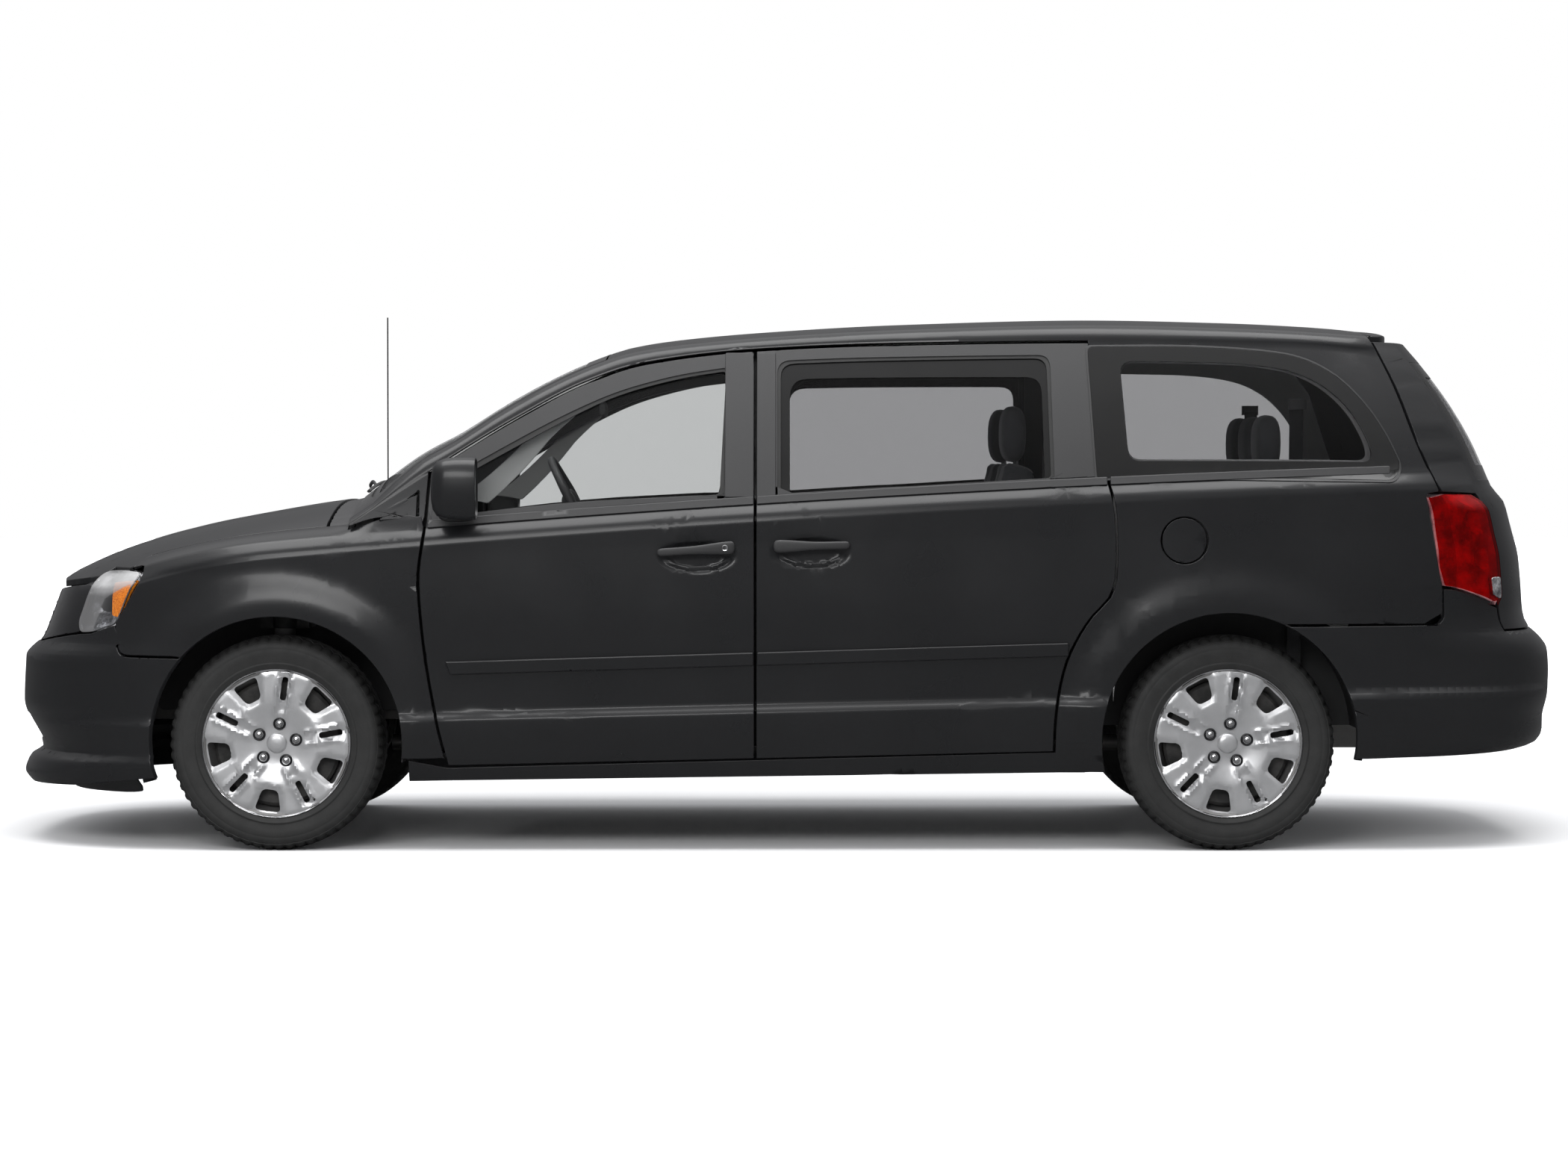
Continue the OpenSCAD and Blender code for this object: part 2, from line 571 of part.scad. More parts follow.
module rear_bumper() {
    color("#1d1f24") difference() {
        tail_slab(tail_turns, [300, 331, 370, 430, 500, 563, 620, 660, 700, 733], 0, wall);
        cross_bar(RA, wheel_z + arch_lift, arch_radius, -FAR, FAR);
        across([[RA - 500, 100], [RA - 500, 900], [RA + 300, 900], [RA + 300, 100]]);
        block([RA, -lamp_inner, 704], [x_tail + 50, lamp_inner, 900]);
    }
}
module tail_lamp() {
    intersection() {
        tail_slab([40, 46, 54, 60, 66, 72, 78, 84], [730, 800, 873, 950, 1028, 1105, 1150], 0, 60);
        across(lamp_outline, -FAR, -lamp_inner);
    }
}
module tail_lamps() {
    color("#8c1018") both_sides() tail_lamp();
}

tailgate_side = [[RA + 700, 500], [RA + 700, 1158], [RA + 690, 1158], [RA + 622, 1310], [RA + 560, 1500],
    [RA + 488, 1640], [roof_end + 8, up(1.1)], [FAR, up(1.1)], [FAR, 500]];
module tailgate() {
    color("#1d1f24") difference() {
        intersection() {
            union() {
                tail_slab(tail_turns, concat([712, 757, 873, 950, 1028, 1105], steps(1180, 1660, 6)),
                    0, lid_depth);
                top_sheet(steps(roof_end + 8, RA + 660, 4), function (x) edge_y(x) - 8, 0, 50, 10);
            }
            across(tailgate_side);
            along([[-lamp_inner + panel_gap, 712], [lamp_inner - panel_gap, 712],
                [lamp_inner - panel_gap, 1154], [half_width, 1154], [half_width, FAR], [-half_width, FAR],
                [-half_width, 1154],
                [-lamp_inner + panel_gap, 1154]], RA, FAR);
        }
        along(rear_window(), RA, FAR);
        for (y = [-1, 1] * plate_spacing / 2)
            translate([RA, y, plate_z]) rotate([0, 90, 0]) cylinder(r = plate_hole, h = FAR, $fn = 24);
    }
}
function rear_window(inset = 0) = [[-720 + inset, 1215 + inset], [720 - inset, 1215 + inset],
    [655 - inset, 1560 - inset], [-655 + inset, 1560 - inset]];
module tailgate_glass() {
    color("#3a4246") intersection() {
        tail_slab(tail_turns, [1180, 1260, 1340, 1420, 1500, 1600], 5, 5 + glass_thickness);
        along(rear_window(seat_gap), RA, FAR);
    }
}

// ---- Structure and running gear ----
module floor_pan() {
    floor_low = floor_height - floor_thickness;
    edge = cabin_half - seat_gap;
    color("#3b3d40") difference() {
        union() {
            block([FA + 500, -edge, floor_low], [x_tail - 150, edge, floor_height]);
            // Firewall, shelf and cowl wall
            block([FA + 500, -edge, floor_low], [FA + 520, edge, shelf_z + 20]);
            block([FA + 180, -700, shelf_z], [FA + 520, 700, shelf_z + 20]);
            block([FA + 180, -300, shelf_z], [FA + 195, 300, top_z(FA + 195, 300) - 46.3]);
            // Front bumper beam and radiator support
            block([FA - 600, -560, beam_z], [FA - 560, 560, beam_z + 100]);
            block([FA - 640, -500, 760], [FA - 560, 500, 800]);
            both_sides() {
                // Rail, crash box, post and bump stop
                block([FA - 600, -470, beam_z], [FA + 510, -400, beam_z + 100]);
                let (tip = nose_at(crash_turn, 460, wall))
                    block([tip.x + 6, -tip.y - 20, 452], [FA - 590, -tip.y + 20, 488]);
                block([FA - 600, -500, beam_z], [FA - 560, -470, 800]);
                block([FA - 620, -495, 790], [FA - 600, -475, top_z(FA - 620, 490) - wall - 1.2]);
                // Strut tower
                block([FA - 80, -470, beam_z], [FA + 80, -440, 799]);
                block([FA - 80, -kingpin_offset, tower_z], [FA + 80, -440, 772]);
                block([FA - 20, -kingpin_offset, tower_z], [FA + 20, -440, wheel_z + liner_radius - 1]);
                translate([FA, -kingpin_offset, tower_z]) cylinder(r = 38, h = 60, $fn = 48);
                // Rear crash box
                let (tip = tail_at(crash_turn, 405, wall))
                    block([x_tail - 160, tip.y - 20, floor_low], [tip.x - 2.5, tip.y + 20, floor_height]);
            }
            // Tailgate striker
            block([x_tail - 250, -40, floor_low], [x_tail - 200, 40, 757]);
            block([x_tail - 250, -40, 717], [tail_at(0, 757, lid_depth).x - 0.8, 40, 757]);
        }
        both_sides() {
            block([RA - 445, -FAR, 0], [RA + 445, -wheelhouse_y + liner_wall + seat_gap, FAR]);
            block([RA + 445, -FAR, 0], [FAR, -780, FAR]);
            block([x_tail - 300, -FAR, 0], [FAR, -600, FAR]);
            translate([FA, -kingpin_offset, 0]) cylinder(r = steer_pin + fit_gap, h = FAR, $fn = 48);
        }
        translate([FA - 700, tow_y, beam_z + 50]) rotate([0, 90, 0])
            cylinder(r = tow_hole, h = 200, $fn = 48);
    }
}

module engine_block() {
    color("#55585c") block([FA - 260, -350, arm_z + arm_height + seat_gap], [FA + 160, 350, 790]);
}

module front_crossmember() {
    color("#2f3134") difference() {
        union() {
            block([FA - 150, -460, arm_z], [FA + 150, 460, arm_z + arm_height]);
            both_sides() {
                block([FA - 36, -kingpin_offset, arm_z], [FA + 36, -440, arm_z + arm_height]);
                translate([FA, -kingpin_offset, arm_z]) cylinder(r = 36, h = arm_height, $fn = 48);
                block([FA + 100, -460, arm_z], [FA + 150, -410, beam_z - seat_gap]);
                block([FA - 150, -460, arm_z], [FA - 100, -410, beam_z - seat_gap]);
            }
        }
        both_sides() translate([FA, -kingpin_offset, 0])
            cylinder(r = steer_pin + fit_gap, h = FAR, $fn = 48);
    }
}

// Steered knuckle: pivots above and below, stub axle outwards
module knuckle() {
    translate([FA, -kingpin_offset, arm_z]) cylinder(r = steer_pin, h = 772 - arm_z, $fn = 48);
    translate([FA, -kingpin_offset, arm_z + arm_height + 1])
        cylinder(r = steer_post, h = tower_z - arm_z - arm_height - 2, $fn = 48);
    cross_bar(FA, wheel_z, axle_radius, -wheel_y - spindle_end, -kingpin_offset);
}

module rear_axle() {
    color("#2f3134") {
        cross_bar(RA, wheel_z, axle_tube, -wheel_y + 62, wheel_y - 62);
        cross_bar(RA, wheel_z, axle_radius, -wheel_y - spindle_end, wheel_y + spindle_end);
        both_sides()
            block([RA - 34, -560, wheel_z], [RA + 34, -500, floor_height - floor_thickness - seat_gap]);
    }
}

// Wheel about the Z axis, outer face upwards
module wheel_shape() {
    rim = rim_diameter / 2;
    difference() {
        union() {
            rotate_extrude($fn = 96) polygon([[rim - 14, -96], [rim, -96], [rim, 96], [rim - 2, 102],
                [rim - 8, 104], [rim - 14, 88]]);
            cylinder(r = 74, h = 86, $fn = 64);
            translate([0, 0, -50]) cylinder(r = 62, h = 60, $fn = 64);
            translate([0, 0, 66]) cylinder(r = rim - 7, h = 18, $fn = 96);
        }
        translate([0, 0, -51]) cylinder(r = axle_radius + fit_gap, h = 51 + spindle_end + 3, $fn = 64);
        for (turn = [0:72:359]) rotate(turn) linear_extrude(FAR)
            polygon([[rim - 22, -42], [rim - 22, 42], [rim - 90, 30], [rim - 90, -30]]);
    }
}
module tyre_shape() {
    rim = rim_diameter / 2;
    top = tyre_diameter / 2;
    half = tyre_width / 2;
    rotate_extrude($fn = 96) polygon([[rim, -half + 8], [rim + 20, -half + 2], [rim + 58, -half],
        [top - 20, -half + 8], [top - 4, -half + 26], [top, -half + 48], [top, half - 48],
        [top - 4, half - 26],
        [top - 20, half - 8], [rim + 58, half], [rim + 20, half - 2], [rim, half - 8], [rim, half - 24],
        [rim + 50, half - 16], [top - 26, half - 24], [top - 15, half - 50], [top - 15, -half + 50],
        [top - 26, -half + 24], [rim + 50, -half + 16], [rim, -half + 24]]);
}
// Puts a wheel-centred shape on the left of an axle
module on_axle(x) {
    translate([x, -wheel_y, wheel_z]) rotate([90, 0, 0]) children();
}
module mirrored() {
    mirror([0, 1, 0]) children();
}

module wheel_liners() {
    color("#141416") both_sides() {
        difference() {
            cross_bar(FA, wheel_z, liner_radius + liner_wall, -half_width + 135, -620);
            cross_bar(FA, wheel_z, liner_radius, -FAR, 0);
            block([-FAR, -FAR, -FAR], [FAR, 0, 335]);
        }
        difference() {
            cross_bar(RA, wheel_z + arch_lift, rear_liner + liner_wall, -half_width + 50,
                -wheelhouse_y + liner_wall);
            cross_bar(RA, wheel_z + arch_lift, rear_liner, -FAR, -wheelhouse_y);
            block([-FAR, -FAR, -FAR], [FAR, 0, floor_height - floor_thickness]);
        }
    }
}

module fuel_tank() {
    top = floor_height - floor_thickness - seat_gap;
    color("#1b1b1d") across([[RA - 820, top], [RA - 380, top], [RA - 380, top - 60], [RA - 440, top - 160],
        [RA - 760, top - 160], [RA - 820, top - 110]], -600, -80);
}

module exhaust() {
    top = floor_height - floor_thickness - seat_gap;
    color("#6a6a6a") {
        translate([FA + 260, 300, 272]) rotate([0, 90, 0]) cylinder(r = 28, h = RA - FA + 20, $fn = 32);
        block([RA + 270, 190, top - 130], [RA + 760, 470, top]);
        translate([RA + 750, 300, 300]) rotate([0, 90, 0]) cylinder(r = 26, h = 180, $fn = 32);
    }
}

// ---- Cabin ----
module dashboard() {
    low = shelf_z + 20 + seat_gap;
    color("#26282b") {
        across([[FA + 280, low], [FA + 280, 980], [FA + 360, 1030], [FA + 520, 1050], [FA + 640, 1045],
            [FA + 690, 1000], [FA + 680, 900], [FA + 600, low]], -cabin_half + 56, cabin_half - 56);
        // Steering column and its pin
        translate(column) rotate([0, column_tilt, 0]) {
            translate([0, 0, -330]) cylinder(r = 26, h = 290, $fn = 48);
            translate([0, 0, -330]) cylinder(r = column_pin, h = 330, $fn = 48);
        }
    }
}
module steering_wheel() {
    color("#26282b") translate(column) rotate([0, column_tilt, 0]) difference() {
        union() {
            rotate_extrude($fn = 72) translate([174, 0]) circle(r = 15, $fn = 20);
            translate([0, 0, -34]) cylinder(r = 52, h = 50, $fn = 48);
            for (turn = [90, 180, 270]) rotate(turn) translate([40, -16, -12]) cube([126, 32, 18]);
        }
        translate([0, 0, -35]) cylinder(r = column_pin + fit_gap, h = 38, $fn = 48);
    }
}

// Seat with its pedestal; the cushion's front edge is at x and its middle at y
module seat(x, y, wide, back_height, foot) {
    seat_z = 690;
    translate([x, y - wide / 2, 0]) {
        translate([90, 60, floor_height + seat_gap]) cube([330, wide - 120, foot]);
        translate([0, wide, 0]) rotate([90, 0, 0]) linear_extrude(wide)
            polygon([[0, seat_z], [20, seat_z + 90], [440, seat_z + 60], [560, seat_z + back_height],
                [640, seat_z + back_height + 10], [660, seat_z + back_height - 30], [560, seat_z + 30],
                [500, floor_height + foot], [90, floor_height + foot]]);
        // Head restraint
        translate([0, wide / 2 + 125, 0]) rotate([90, 0, 0]) linear_extrude(250)
            polygon([[575, seat_z + back_height], [560, seat_z + back_height + 160],
                [590, seat_z + back_height + 190], [640, seat_z + back_height + 180],
                [645, seat_z + back_height]]);
    }
}
module front_seats() {
    color("#3a3c40") both_sides() seat(x_door + 400, -370, 500, 590, 200);
}
module rear_seats() {
    color("#3a3c40") {
        both_sides() seat(x_pillar + 260, -370, 480, 570, 200);
        seat(RA - 420, 0, 1180, 540, 160);
    }
}

module antenna() {
    x = FA + 190;
    y = 884;
    base = shoulder(x, 0.5, 0).z + 3;
    color("#1a1a1a") translate([x, y, base]) {
        cylinder(r1 = 16, r2 = 8, h = 22, $fn = 24);
        cylinder(r = 2.5, h = 1790 - base, $fn = 16);
    }
}

floor_pan();
engine_block();
front_crossmember();
rear_axle();
body_sides();
roof_panel();
windshield();
cowl_panel();
front_fenders();
front_bumper();
grille();
headlamps();
side_glass();
sliding_doors();
rear_bumper();
tail_lamps();
dashboard();
steering_wheel();
front_seats();
rear_seats();
fuel_tank();
exhaust();
antenna();
wheel_liners();
hood();
color("#1d1f24") front_door();  // front_door_left
color("#1d1f24") mirrored() front_door();  // front_door_right
door_glass();  // door_glass_left
mirrored() door_glass();  // door_glass_right
color("#1d1f24") door_mirror();  // mirror_left
color("#1d1f24") mirrored() door_mirror();  // mirror_right
tailgate();
tailgate_glass();
fuel_flap();
color("#55585c") knuckle();  // knuckle_left
color("#55585c") mirrored() knuckle();  // knuckle_right
color("#18181a") on_axle(FA) tyre_shape();  // tyre_front_left
color("#18181a") mirrored() on_axle(FA) tyre_shape();  // tyre_front_right
color("#18181a") on_axle(RA) tyre_shape();  // tyre_rear_left
color("#18181a") mirrored() on_axle(RA) tyre_shape();  // tyre_rear_right
color("#b4b6b9") on_axle(FA) wheel_shape();  // wheel_front_left
color("#b4b6b9") mirrored() on_axle(FA) wheel_shape();  // wheel_front_right
color("#b4b6b9") on_axle(RA) wheel_shape();  // wheel_rear_left
color("#b4b6b9") mirrored() on_axle(RA) wheel_shape();  // wheel_rear_right
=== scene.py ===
# %% [markdown]
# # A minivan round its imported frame
# The frame holds every piece that carries, moves or fits, at its real size. This file adds what the
# eye judges: smooth pressed panels, glass, lamps, wheels, a trimmed cabin and their finishes. Body
# lines are drawn in millimetres, as on a body drawing, and MM turns them into Blender's metres.

# %% Load the frame
import math

import bmesh
import bpy
from mathutils import Matrix, Vector


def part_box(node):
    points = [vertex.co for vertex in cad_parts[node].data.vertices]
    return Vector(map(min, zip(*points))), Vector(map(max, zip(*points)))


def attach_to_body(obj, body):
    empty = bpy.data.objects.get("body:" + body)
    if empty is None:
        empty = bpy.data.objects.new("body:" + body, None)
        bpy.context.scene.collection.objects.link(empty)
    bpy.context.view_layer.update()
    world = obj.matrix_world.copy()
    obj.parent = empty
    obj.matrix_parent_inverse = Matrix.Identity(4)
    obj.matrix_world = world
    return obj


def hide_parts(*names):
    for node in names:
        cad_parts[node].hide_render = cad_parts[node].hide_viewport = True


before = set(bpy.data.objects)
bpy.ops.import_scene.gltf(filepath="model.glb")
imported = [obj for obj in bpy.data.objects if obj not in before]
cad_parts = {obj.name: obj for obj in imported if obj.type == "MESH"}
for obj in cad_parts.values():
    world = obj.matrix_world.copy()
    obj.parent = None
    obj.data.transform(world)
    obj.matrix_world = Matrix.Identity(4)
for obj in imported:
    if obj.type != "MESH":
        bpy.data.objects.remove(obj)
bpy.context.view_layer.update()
MM = 0.001

# %% [markdown]
# ## The camera
# A long lens far off to the left keeps the side of the van almost free of perspective, so its
# proportions read as on a drawing. It stands at the height of the belt and looks down very slightly.

# %% Make the camera
camera_data = bpy.data.cameras.new("camera")
camera_data.sensor_width = 36
camera_data.lens = 94.2
camera = bpy.data.objects.new("camera", camera_data)
camera.location = (0, -14.17, 1.23)
camera.rotation_euler = (math.radians(90 - 1.64), 0, 0)
bpy.context.scene.collection.objects.link(camera)
bpy.context.scene.camera = camera

# %% [markdown]
# ## Stations along the van
# Everything is placed from the frame: the axles are the middles of the tyres, and the ends and sides
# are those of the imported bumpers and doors.

# %% Read the stations from the frame


def span(node):
    """Lowest and highest corners of a frame node, in millimetres."""
    return [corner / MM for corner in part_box(node)]


tyre_low, tyre_high = span("tyre_front_left")
FA = (tyre_low.x + tyre_high.x) / 2
WHEEL_Z = (tyre_low.z + tyre_high.z) / 2
WHEEL_Y = -(tyre_low.y + tyre_high.y) / 2
RA = sum(corner.x for corner in span("tyre_rear_left")) / 2
X_NOSE = span("front_bumper")[0].x
X_TAIL = span("rear_bumper")[1].x
X_PILLAR = span("front_door_left")[1].x + 4
X_DOOR = FA + 483
HALF = 975
ROOF = span("roof_panel")[1].z
BELT = 1126
COWL_X = FA + 230
COWL_Z = 1150
HEADER_X = FA + 1060
ROOF_END = RA + 470
ARCH_R = 412
ARCH_LIFT = 12
GAP = 4
print("axles at", round(FA), round(RA), "ends at", round(X_NOSE), round(X_TAIL), "roof at", round(ROOF))

# %% [markdown]
# ## The body's lines
# A car body is drawn as a few curves: the belt and sill along it, sections across it, and the plan
# view of each end. `line` joins points straight, for a crease. `curve` joins them with a smooth
# curve that never overshoots, for a swelling surface. The mesh then samples these finely.

# %% Curves through a few points


def clamp(v, low=0.0, high=1.0):
    return min(max(v, low), high)


def smooth(v):
    """0 to 1 with soft ends."""
    v = clamp(v)
    return v * v * (3 - 2 * v)


def interval(v, points):
    i = 0
    while i < len(points) - 2 and v > points[i + 1][0]:
        i += 1
    return i


def line(v, points):
    """Height of a chain of straight lines at v."""
    (x0, y0), (x1, y1) = points[interval(v, points)], points[interval(v, points) + 1]
    return y0 + (y1 - y0) * clamp((v - x0) / (x1 - x0))


def curve(v, points):
    """Height at v of a smooth curve through the points, with no overshoot."""
    v = clamp(v, points[0][0], points[-1][0])
    i = interval(v, points)
    runs = [b[0] - a[0] for a, b in zip(points, points[1:])]
    slopes = [(b[1] - a[1]) / run for a, b, run in zip(points, points[1:], runs)]

    def tangent(k):
        if k == 0 or k == len(points) - 1:
            return slopes[0] if k == 0 else slopes[-1]
        before, after = slopes[k - 1], slopes[k]
        if before * after <= 0:
            return 0
        w = (runs[k] * 2 + runs[k - 1], runs[k] + runs[k - 1] * 2)
        return (w[0] + w[1]) / (w[0] / before + w[1] / after)

    t = (v - points[i][0]) / runs[i]
    h = runs[i]
    return (
        points[i][1] * (1 + 2 * t) * (1 - t) ** 2
        + tangent(i) * h * t * (1 - t) ** 2
        + points[i + 1][1] * t * t * (3 - 2 * t)
        - tangent(i + 1) * h * t * t * (1 - t)
    )


def steps(a, b, n):
    return [a + (b - a) * i / n for i in range(n + 1)]


def up(share):
    """Height above the belt, as a share of the glasshouse."""
    return BELT + share * (ROOF - BELT)


# %% Side of the body
CREASE_DROP = 50
LOWER_SLOPE = 0.024
LOWER_SKIN = [(190, -60), (230, -45), (330, -14), (440, -2), (450, -2), (480, -18), (620, -10), (800, 0),
              (1000, -3)]
SHOULDER = [(-50, -4), (-35, -8), (-14, -22), (0, -34)]
NOSE_POWER = 3.2
TAIL_POWER = 3.6
X_NOSE_CURVE = FA + 300
X_TAIL_CURVE = RA + 150


def belt(x):
    return BELT + 0.0625 * x - 0.0000078 * x * x - 0.00022 * max(0, FA - x) ** 2


def sill_top(x):
    return 300 + 0.0232 * x


def sill_low(x):
    return 240 + 0.011 * x


def skin_offset(x, z):
    """How far the body side lies outside the half width, below and above the belt."""
    h = z - belt(x)
    if h < -CREASE_DROP:
        return curve(z - LOWER_SLOPE * x, LOWER_SKIN)
    if h < 0:
        return curve(h, SHOULDER)
    return -34 - 2 * smooth(h / 20) - 0.27 * h - 0.00016 * h * h


NOSE_LINE = [
    (190, 27), (228, 2), (254, 10), (280, 25), (305, 64), (331, 60), (383, 34), (434, 6), (460, 0), (590, 6),
    (615, 8), (641, 28), (666, 56), (760, 98), (850, 136), (900, 175)]
TAIL_LOW = [
    (290, 190), (331, 41), (370, 21), (408, 21), (486, 5), (563, 0), (602, 2), (641, 7), (679, 33), (718, 74),
    (757, 90), (873, 100), (950, 108), (1028, 129), (1105, 152), (1180, 202)]
TAIL_HIGH = [(0, 202), (0.14, 232), (0.28, 268), (0.42, 312), (0.56, 364), (0.7, 424), (0.86, 500), (1, 560)]


def nose_line(z):
    return X_NOSE + curve(z, NOSE_LINE)


def tail_line(z):
    if z > 1180:
        return X_TAIL - curve((z - 1180) / (ROOF - 1180), TAIL_HIGH)
    return X_TAIL - curve(z, TAIL_LOW)


def end_share(s, power):
    return (1 - clamp(s, 0, 0.9995) ** power) ** (1 / power)


FLARE_FROM, FLARE_FULL, FLARE_OUT = 570, 446, 21


def flare(x, z):
    """Swelling round the nearer wheel arch, with a flat lip."""
    r = min(math.hypot(x - FA, z - WHEEL_Z), math.hypot(x - RA, z - WHEEL_Z - ARCH_LIFT))
    near = smooth((FLARE_FROM - r) / (FLARE_FROM - FLARE_FULL))
    return FLARE_OUT * near * clamp((z - 200) / 100)


def side(x, z):
    """Half width of the van at a place seen from the side."""
    nose = end_share((X_NOSE_CURVE - x) / (X_NOSE_CURVE - nose_line(z)), NOSE_POWER)
    tail = end_share((x - X_TAIL_CURVE) / (tail_line(z) - X_TAIL_CURVE), TAIL_POWER)
    return (HALF + skin_offset(x, z)) * nose * tail + flare(x, z)


# %% Upper surface of the body
HOOD_LINE = [
    (-798, 846), (-759, 893), (-713, 917), (-661, 940), (-541, 984), (-389, 1029), (-237, 1065), (-84, 1095),
    (68, 1121), (193, 1140), (230, COWL_Z)]
ROOF_LINE = [
    (COWL_X, COWL_Z), (FA + 422, up(0.267)), (FA + 568, up(0.394)), (FA + 715, up(0.544)),
    (FA + 861, up(0.675)), (FA + 1008, up(0.782)), (FA + 1135, up(0.85)), (FA + 1287, up(0.89)),
    (FA + 1592, up(0.935)), (FA + 2050, up(0.976)), (RA - 420, up(1)), (RA + 38, up(0.985)),
    (RA + 343, up(0.96)), (RA + 495, up(0.935)), (RA + 670, up(0.875))]
DOOR_TOP = [
    (FA + 180, up(-0.18)), (FA + 495, up(0.161)), (FA + 632, up(0.305)), (FA + 793, up(0.461)),
    (FA + 993, up(0.632)), (FA + 1194, up(0.738)), (X_PILLAR, up(0.808)), (RA - 1120, up(0.837)),
    (RA - 440, up(0.852)), (RA + 200, up(0.84)), (RA + 700, up(0.76))]


def top_line(x):
    return curve(x - FA, HOOD_LINE) if x < COWL_X else curve(x, ROOF_LINE)


def rim_line(x):
    return max(belt(x) + 12, 862)


def top_z(x, y):
    """Height of the hood, windshield or roof above a place in plan."""
    if x < COWL_X:
        width, drop = side(x, belt(x)) - 40, top_line(x) - rim_line(x)
    else:
        width = HALF - 72
        drop = line(x, [(COWL_X, COWL_Z - rim_line(COWL_X)), (X_DOOR, 60)])
    return top_line(x) - drop * (abs(y) / width) ** 2.6


def door_top(x):
    return curve(x, DOOR_TOP)


def edge_y(x):
    """Half width of the roof and windshield, where they meet the rails over the doors."""
    return side(x, door_top(x)) - 62


def edge_z(x):
    return max(top_z(x, edge_y(x)), door_top(x) + 24)


print("half width at the belt", round(side(0, belt(0))), "and of the roof", round(edge_y(0)))

# %% [markdown]
# ## From a flat pattern to a pressed panel
# A pressing starts as a flat blank. Here too: a blank is one flat face with its holes, cut along the
# lines of a grid with `bisect_plane`, so that it has vertices to bend. Then each vertex moves onto
# the body surface, and an extruded copy, set inwards, gives the panel its thickness. The outline
# stays exact, which a grid that is trimmed afterwards wouldn't give.

# %% Outlines with round corners


def rounded(points, radius=30, segments=5):
    """The outline with each corner turned by a curve. A point's own third value is its radius."""
    out = []
    for i, point in enumerate(points):
        p = Vector(point[:2])
        r = point[2] if len(point) > 2 else radius
        before, after = Vector(points[i - 1][:2]), Vector(points[(i + 1) % len(points)][:2])
        if r <= 0:
            out.append(tuple(p))
            continue
        a = p + (before - p).normalized() * min(r, (before - p).length * 0.48)
        b = p + (after - p).normalized() * min(r, (after - p).length * 0.48)
        out += [tuple(a * (1 - t) ** 2 + p * 2 * t * (1 - t) + b * t * t) for t in steps(0, 1, segments)]
    return out


def arc(cx, cz, r, start, end, n=24):
    """Points on a circle in the side view, angles in degrees from straight ahead of +X."""
    return [(cx + r * math.cos(math.radians(a)), cz + r * math.sin(math.radians(a)))
            for a in steps(start, end, n)]


# %% Cut a blank along a grid


def blank(outline, holes, u_cuts, v_cuts, merge=1.6):
    """A flat mesh inside the outline and outside the holes, with edges along every grid line."""
    bm = bmesh.new()
    for loop in [outline, *holes]:
        verts = [bm.verts.new((u, v, 0)) for u, v in loop]
        for a, b in zip(verts, verts[1:] + verts[:1]):
            bm.edges.new((a, b))
    bmesh.ops.triangle_fill(bm, use_beauty=True, edges=bm.edges[:], normal=(0, 0, 1))
    for axis, cuts in ((0, u_cuts), (1, v_cuts)):
        normal = Vector((axis == 0, axis == 1, 0))
        for cut in cuts:
            bmesh.ops.bisect_plane(
                bm, geom=bm.verts[:] + bm.edges[:] + bm.faces[:], dist=0.01, plane_co=normal * cut,
                plane_no=normal)
    bmesh.ops.remove_doubles(bm, verts=bm.verts[:], dist=merge)

    def slanted(edge):
        step = edge.verts[1].co - edge.verts[0].co
        return len(edge.link_faces) == 2 and min(abs(step.x), abs(step.y)) > 0.02

    bmesh.ops.dissolve_edges(bm, edges=[e for e in bm.edges if slanted(e)], use_verts=False)
    return bm


# %% Press a blank into a panel


def finish_mesh(bm, name, material, bevel=0.0, sharp=38, segments=2):
    """Turns a mesh in millimetres into an object in metres, with smooth faces and soft lips."""
    bmesh.ops.recalc_face_normals(bm, faces=bm.faces[:])
    bmesh.ops.transform(bm, matrix=Matrix.Scale(MM, 4), verts=bm.verts[:])
    for face in bm.faces:
        face.smooth = True
    for edge in bm.edges:
        edge.smooth = len(edge.link_faces) == 2 and edge.calc_face_angle(0) < math.radians(sharp)
    data = bpy.data.meshes.new(name)
    bm.to_mesh(data)
    bm.free()
    piece = bpy.data.objects.new(name, data)
    bpy.context.scene.collection.objects.link(piece)
    if material:
        data.materials.append(material)
    if bevel:
        lip = piece.modifiers.new("lip", "BEVEL")
        lip.width = bevel * MM
        lip.segments = segments
        lip.limit_method = "ANGLE"
        lip.angle_limit = math.radians(45)
        lip.use_clamp_overlap = False
        lip.harden_normals = True
    return piece


def press(bm, place, outer, inner):
    """Moves a flat blank to the outer depth and a copy of it to the inner depth. A depth is a
    number or a function of the place on the blank."""
    def depth(value, u, v):
        return value(u, v) if callable(value) else value

    flat = bm.verts[:]
    copied = bmesh.ops.extrude_face_region(bm, geom=bm.faces[:])["geom"]
    back = [item for item in copied if isinstance(item, bmesh.types.BMVert)]
    for verts, value in ((back, inner), (flat, outer)):
        for v in verts:
            v.co = place(v.co.x, v.co.y, depth(value, v.co.x, v.co.y))
    return bm


print("blanks and pressings are ready")

# %% [markdown]
# ## Finishes
# Every finish is a small node tree. A wrapper round a socket lets shader maths be written as plain
# Python, and one method adds any other node. Patterns read Object coordinates, in metres, so their
# scale is real: paint flake is a fraction of a millimetre and orange peel a few millimetres.

# %% A socket that does maths


